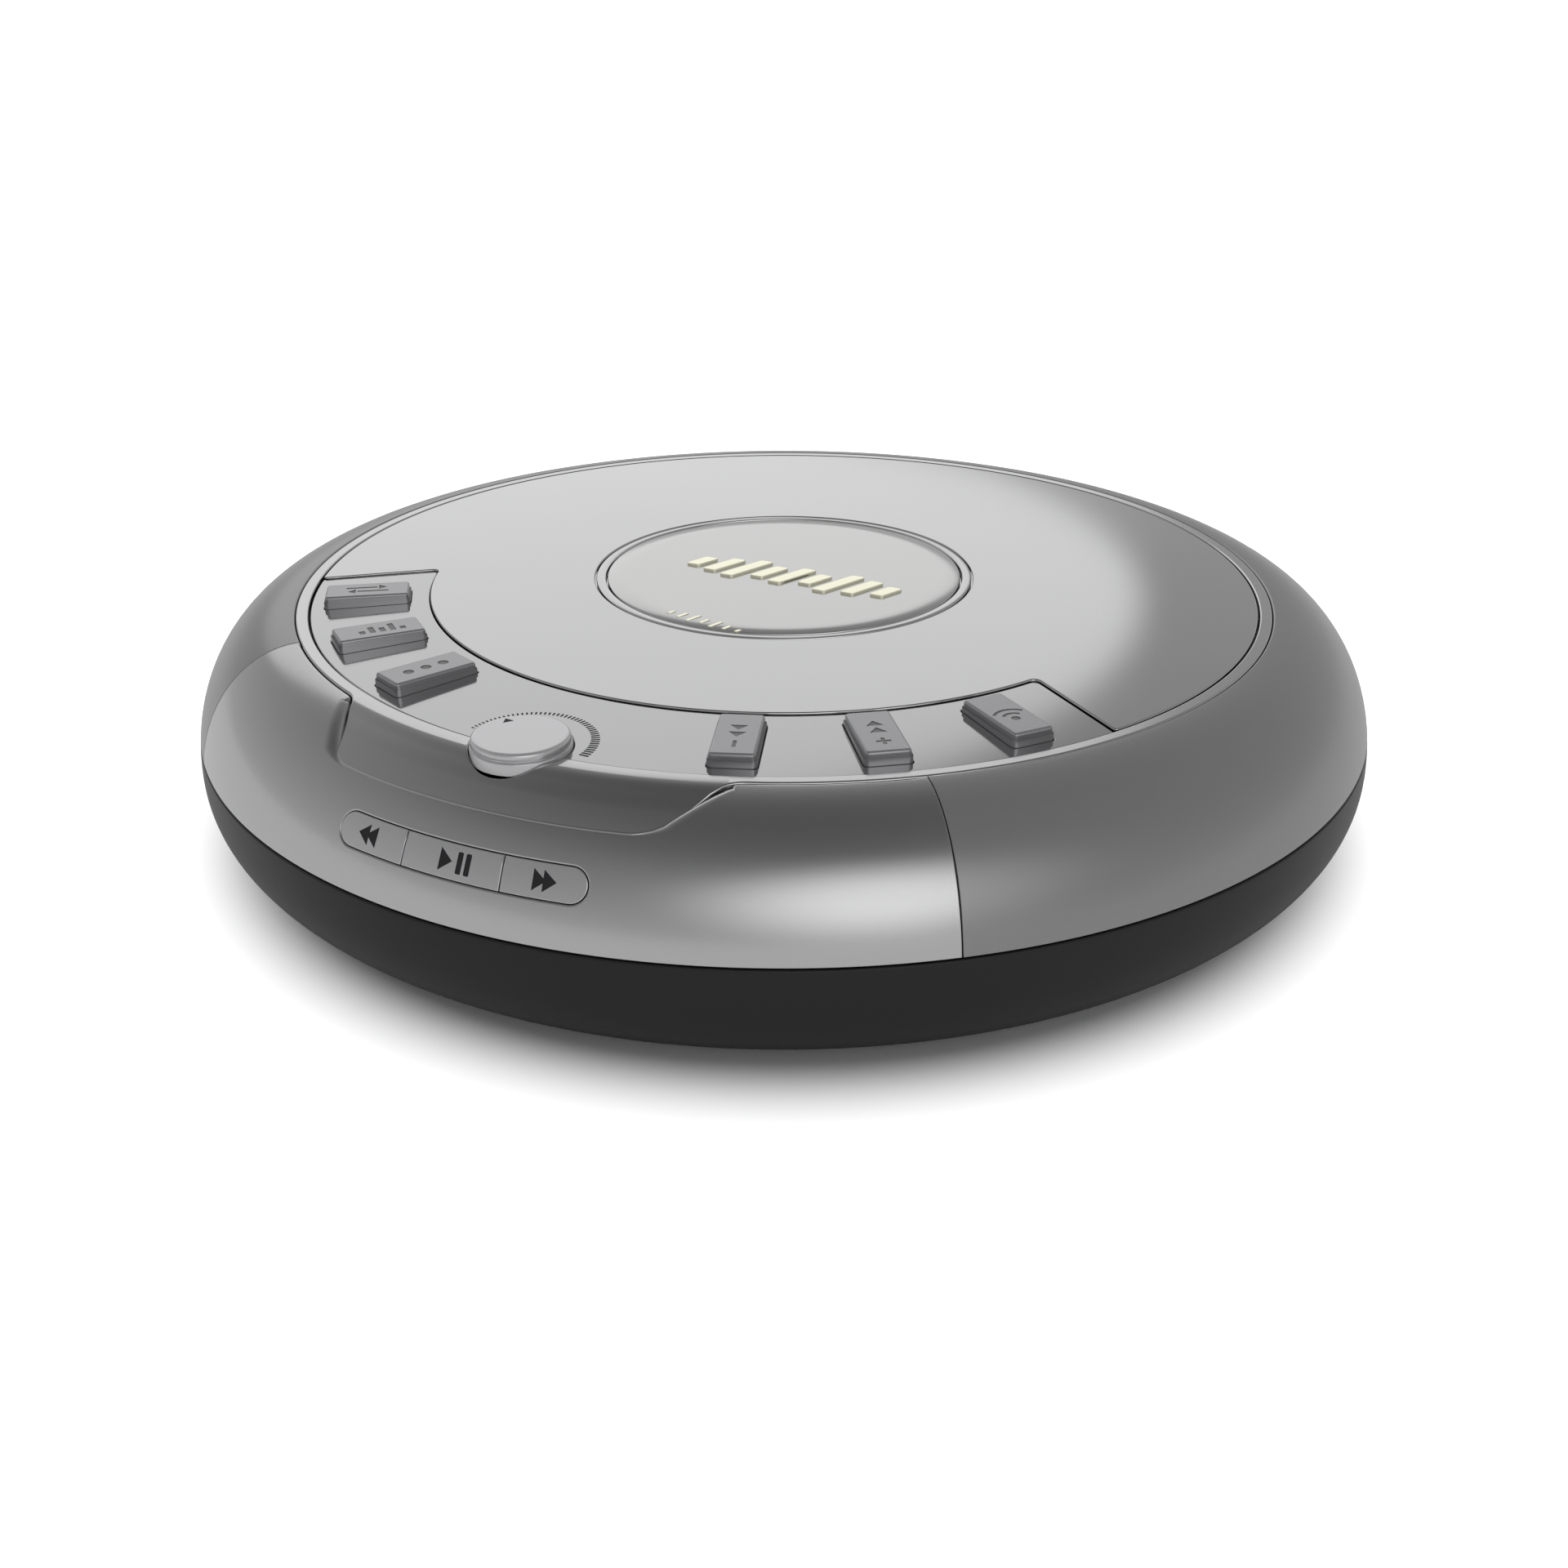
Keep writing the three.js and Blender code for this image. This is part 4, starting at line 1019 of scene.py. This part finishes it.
def badge():
    """The round badge, which follows the lid's dome, and the ring round it."""
    top, seat = LID_Z + LID_DOME, LID_Z + 0.3
    disc = [(r, top - LID_DOME * (r / LID_R) ** 2) for r in np.linspace(0, BADGE_R - 0.3, 10)]
    disc += [(BADGE_R - 0.08, top - 0.25), (BADGE_R, top - 0.42), (BADGE_R, seat), (0, seat)]
    place(lathe("lid_badge_disc", disc, LOOK["badge"]), "lid", "badge_silver", "lid_badge")
    low, high = BADGE_R + GAP, BADGE_RING_R
    ring = [(low, seat), (low, top - 0.4), (low + 0.08, top - 0.26), (low + 0.25, top - 0.19),
            (high - 0.25, top - 0.22), (high - 0.08, top - 0.28), (high, top - 0.42), (high, seat)]
    place(lathe("badge_ring_trim", ring, LOOK["ring"]), "lid", "ring_silver", "badge_ring")


def raised(loop, name, height, fillet):
    """A piece of the emblem, standing a height above the lid's dome."""
    cover = plan_cover(lambda x, y: lid_height(x, y) + height - 0.05)
    return skin(name, [dense(loop, 2)], cover, [LOOK["gold"]], fillet, [(-0.05, height + 0.1)])


def emblem():
    """A generic sound-level mark in pale gold: a row of slanted bars, and a small row below it."""
    slant, pitch = 0.35, 4.45
    talls = (4.6, 7.2, 9.6, 6.2, 8.6, 5.4, 9.6, 7.4, 4.8)
    left = 2.8 - pitch * (len(talls) - 1) / 2
    bars = []
    for i, tall in enumerate(talls):
        bar = rounded_rect(tall, 2.5, 0.5, 4)
        bar = np.array([(x + slant * y + left + pitch * i, y - 2.4) for x, y in bar])
        bars.append(raised(bar, f"bar_{i}", 0.45, 0.14))
    place(join("emblem_bars", bars), "lid", "emblem_gold", "emblem")
    dashes = []
    for i, tall in enumerate((1.2, 2.0, 2.8, 1.8, 2.6, 1.6, 1.0)):
        x, y = -7.0 + 2.3 * i, -26.9 - 0.42 * i
        bar = bar_mark(-0.3, 0.3, -tall / 2, tall / 2)
        bar = np.array([(px + slant * py + x, py + y) for px, py in bar])
        dashes.append(raised(bar, f"dash_{i}", 0.16, 0.05))
    place(join("badge_dashes", dashes), "lid", "emblem_gold")


def lid_underside():
    """Two stiffening rings under the lid."""
    rings = []
    for radius in (44.0, 57.5):
        low = LID_Z + LID_DOME * (1 - (radius / LID_R) ** 2) - LID_THICK
        outline = [(radius, low + 0.3), (radius, low - 0.7), (radius + 0.2, low - 0.9),
                   (radius + 0.8, low - 0.9), (radius + 1.0, low - 0.7), (radius + 1.0, low + 0.3)]
        rings.append(lathe(f"lid_rib_{radius:.0f}", outline, LOOK["under"], 160))
    place(join("lid_ribs", rings), "lid", "lid_silver")


base_shell()
rear_bumper()
front_panel()
top_ring()
ring_ledge()
crescent()
for button_name, button_turn in BUTTON_TURNS.items():
    button(button_name, button_turn)
keys()
volume_knob()
volume_scale()
lid_shell()
badge()
emblem()
lid_underside()


# --- Carried-over CAD nodes -----------------------------------------------------------------

CARRIED = {
    "deck": ["disc_deck", "well_wall", "hinge_arm_left", "hinge_arm_right", "lid_hook"],
    "inner": ["hinge_bracket", "turntable", "pickup_sled", "battery_tray", "headphone_jack", "line_jack",
              "dc_jack"],
    "steel": ["hinge_rod", "volume_control", "spindle_motor", "mechanism_chassis", "guide_rod_front",
              "guide_rod_rear", "sled_motor", "battery_spring_front", "battery_spring_rear", "battery_link",
              "tuner_module"] + [f"case_screw_{i}" for i in range(1, 5)],
    "natural": ["drive_gear"],
    "board": ["key_board", "transport_board", "main_board"],
    "chip": ["decoder_chip"],
    "lens": ["pickup_lens"],
    "base": ["battery_door"],
    "rubber": [f"foot_{i}" for i in range(1, 5)],
    "button": ["open_button", "hold_switch"],
}
for look, names in CARRIED.items():
    for name in names:
        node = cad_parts[name]
        node.data.materials.clear()
        node.data.materials.append(LOOK[look])


# --- Stage: floor, lights and camera ----------------------------------------------------------

FLOOR_HALF = 40.0


def pale_floor():
    """A wide paper floor, which is darker in reflections so that the case's flanks aren't washed out."""
    corners = [(x * FLOOR_HALF, y * FLOOR_HALF, 0) for x, y in ((-1, -1), (1, -1), (1, 1), (-1, 1))]
    floor = shaded("floor", corners, [(0, 1, 2, 3)])
    paper = bpy.data.materials.new("floor_paper")
    paper.use_nodes = True
    tree = paper.node_tree
    shader = tree.nodes["Principled BSDF"]
    path = add_node(tree, "LightPath")
    tone = add_node(tree, "MixRGB", Color1=(0.93, 0.93, 0.93, 1), Color2=(0.36, 0.36, 0.36, 1))
    tree.links.new(path.outputs["Is Glossy Ray"], tone.inputs["Fac"])
    tree.links.new(tone.outputs["Color"], shader.inputs["Base Color"])
    shader.inputs["Roughness"].default_value = 0.9
    shader.inputs["Specular IOR Level"].default_value = 0.1
    floor.data.materials.append(paper)


def soft_edge(tree, value, edges, strength):
    """The strength while the value is below the first edge, falling smoothly to 0 at the second."""
    ramp = add_node(tree, "MapRange", From_Min=edges[0], From_Max=edges[1], To_Min=strength, To_Max=0.0)
    ramp.interpolation_type = "SMOOTHSTEP"
    tree.links.new(value, ramp.inputs["Value"])
    return ramp.outputs["Result"]


def maths(tree, operation, first, second=None):
    """A maths node on sockets or numbers."""
    node = add_node(tree, "Math")
    node.operation = operation
    for socket, value in zip(node.inputs, (first, second)):
        if isinstance(value, (int, float)):
            socket.default_value = value
        elif value is not None:
            tree.links.new(value, socket)
    return node.outputs[0]


# Soft boxes around the object: azimuth and elevation of the middle, half sizes, in degrees,
# how soft the edge is, and brightness.
SOFT_BOXES = ((127.5, 20.0, 23.5, 11.5, 0.04, 0.52), (-44, 26, 28, 19, 0.7, 0.9))

# The reflected sky's grey, by the height of its direction: 0 at the horizon, 1 overhead.
SKY = ((0.0, 0.48), (0.3, 0.36), (0.62, 0.25), (0.88, 0.13), (1.0, 0.1))


def studio_world():
    """White to the camera; in reflections grey near the horizon, dark overhead, with soft boxes."""
    world = bpy.data.worlds.new("studio")
    world.use_nodes = True
    tree = world.node_tree
    tree.nodes.clear()
    coords = add_node(tree, "TexCoord")
    split = add_node(tree, "SeparateXYZ")
    tree.links.new(coords.outputs["Generated"], split.inputs[0])
    ramp = add_node(tree, "ValToRGB")
    while len(ramp.color_ramp.elements) < len(SKY):
        ramp.color_ramp.elements.new(0.5)
    for element, (at, grey) in zip(ramp.color_ramp.elements, SKY):
        element.position = at
        element.color = (grey, grey, grey, 1)
    tree.links.new(split.outputs["Z"], ramp.inputs["Fac"])
    azimuth = maths(tree, "ARCTAN2", split.outputs["Y"], split.outputs["X"])
    elevation = maths(tree, "ARCSINE", split.outputs["Z"])
    total = ramp.outputs["Color"]
    for az, el, wide, tall, soft, strength in SOFT_BOXES:
        side = maths(tree, "SUBTRACT", azimuth, math.radians(az))
        side = maths(tree, "DIVIDE", side, math.radians(wide))
        rise = maths(tree, "SUBTRACT", elevation, math.radians(el))
        rise = maths(tree, "DIVIDE", rise, math.radians(tall))
        squares = [maths(tree, "MULTIPLY", value, value) for value in (side, rise)]
        reach = maths(tree, "SQRT", maths(tree, "ADD", *squares))
        total = maths(tree, "ADD", total, soft_edge(tree, reach, (1 - soft, 1 + soft), strength))
    seen = add_node(tree, "Background", Color=(1, 1, 1, 1), Strength=1.1)
    mirrored = add_node(tree, "Background")
    path = add_node(tree, "LightPath")
    mix = add_node(tree, "MixShader")
    out = add_node(tree, "OutputWorld")
    tree.links.new(total, mirrored.inputs["Color"])
    tree.links.new(path.outputs["Is Camera Ray"], mix.inputs["Fac"])
    tree.links.new(mirrored.outputs[0], mix.inputs[1])
    tree.links.new(seen.outputs[0], mix.inputs[2])
    tree.links.new(mix.outputs[0], out.inputs["Surface"])
    bpy.context.scene.world = world


def overhead():
    """A wide soft light from above, which lights the floor and leaves the soft contact shadow."""
    data = bpy.data.lights.new("overhead", "SUN")
    data.energy = 4.6
    data.angle = math.radians(100)
    item = new_object("overhead", data)
    item.rotation_euler = (math.radians(-6), math.radians(-4), 0)
    item.visible_glossy = False


CAMERA_AT = (0.13268, -0.25817, 0.13875)
CAMERA_AZIMUTH, CAMERA_PITCH, LENS = 117.2, -25.758, 39.85


def camera():
    """The photograph's view. The azimuth is that of the direction it looks in, anticlockwise from +X."""
    data = bpy.data.cameras.new("camera")
    data.lens, data.sensor_width = LENS, 36
    item = new_object("camera", data)
    item.location = CAMERA_AT
    turn, pitch = math.radians(CAMERA_AZIMUTH), math.radians(CAMERA_PITCH)
    ahead = Vector((math.cos(pitch) * math.cos(turn), math.cos(pitch) * math.sin(turn), math.sin(pitch)))
    item.rotation_euler = ahead.to_track_quat("-Z", "Y").to_euler()
    bpy.context.scene.camera = item


pale_floor()
studio_world()
overhead()
camera()
bpy.context.scene.view_settings.view_transform = "Standard"
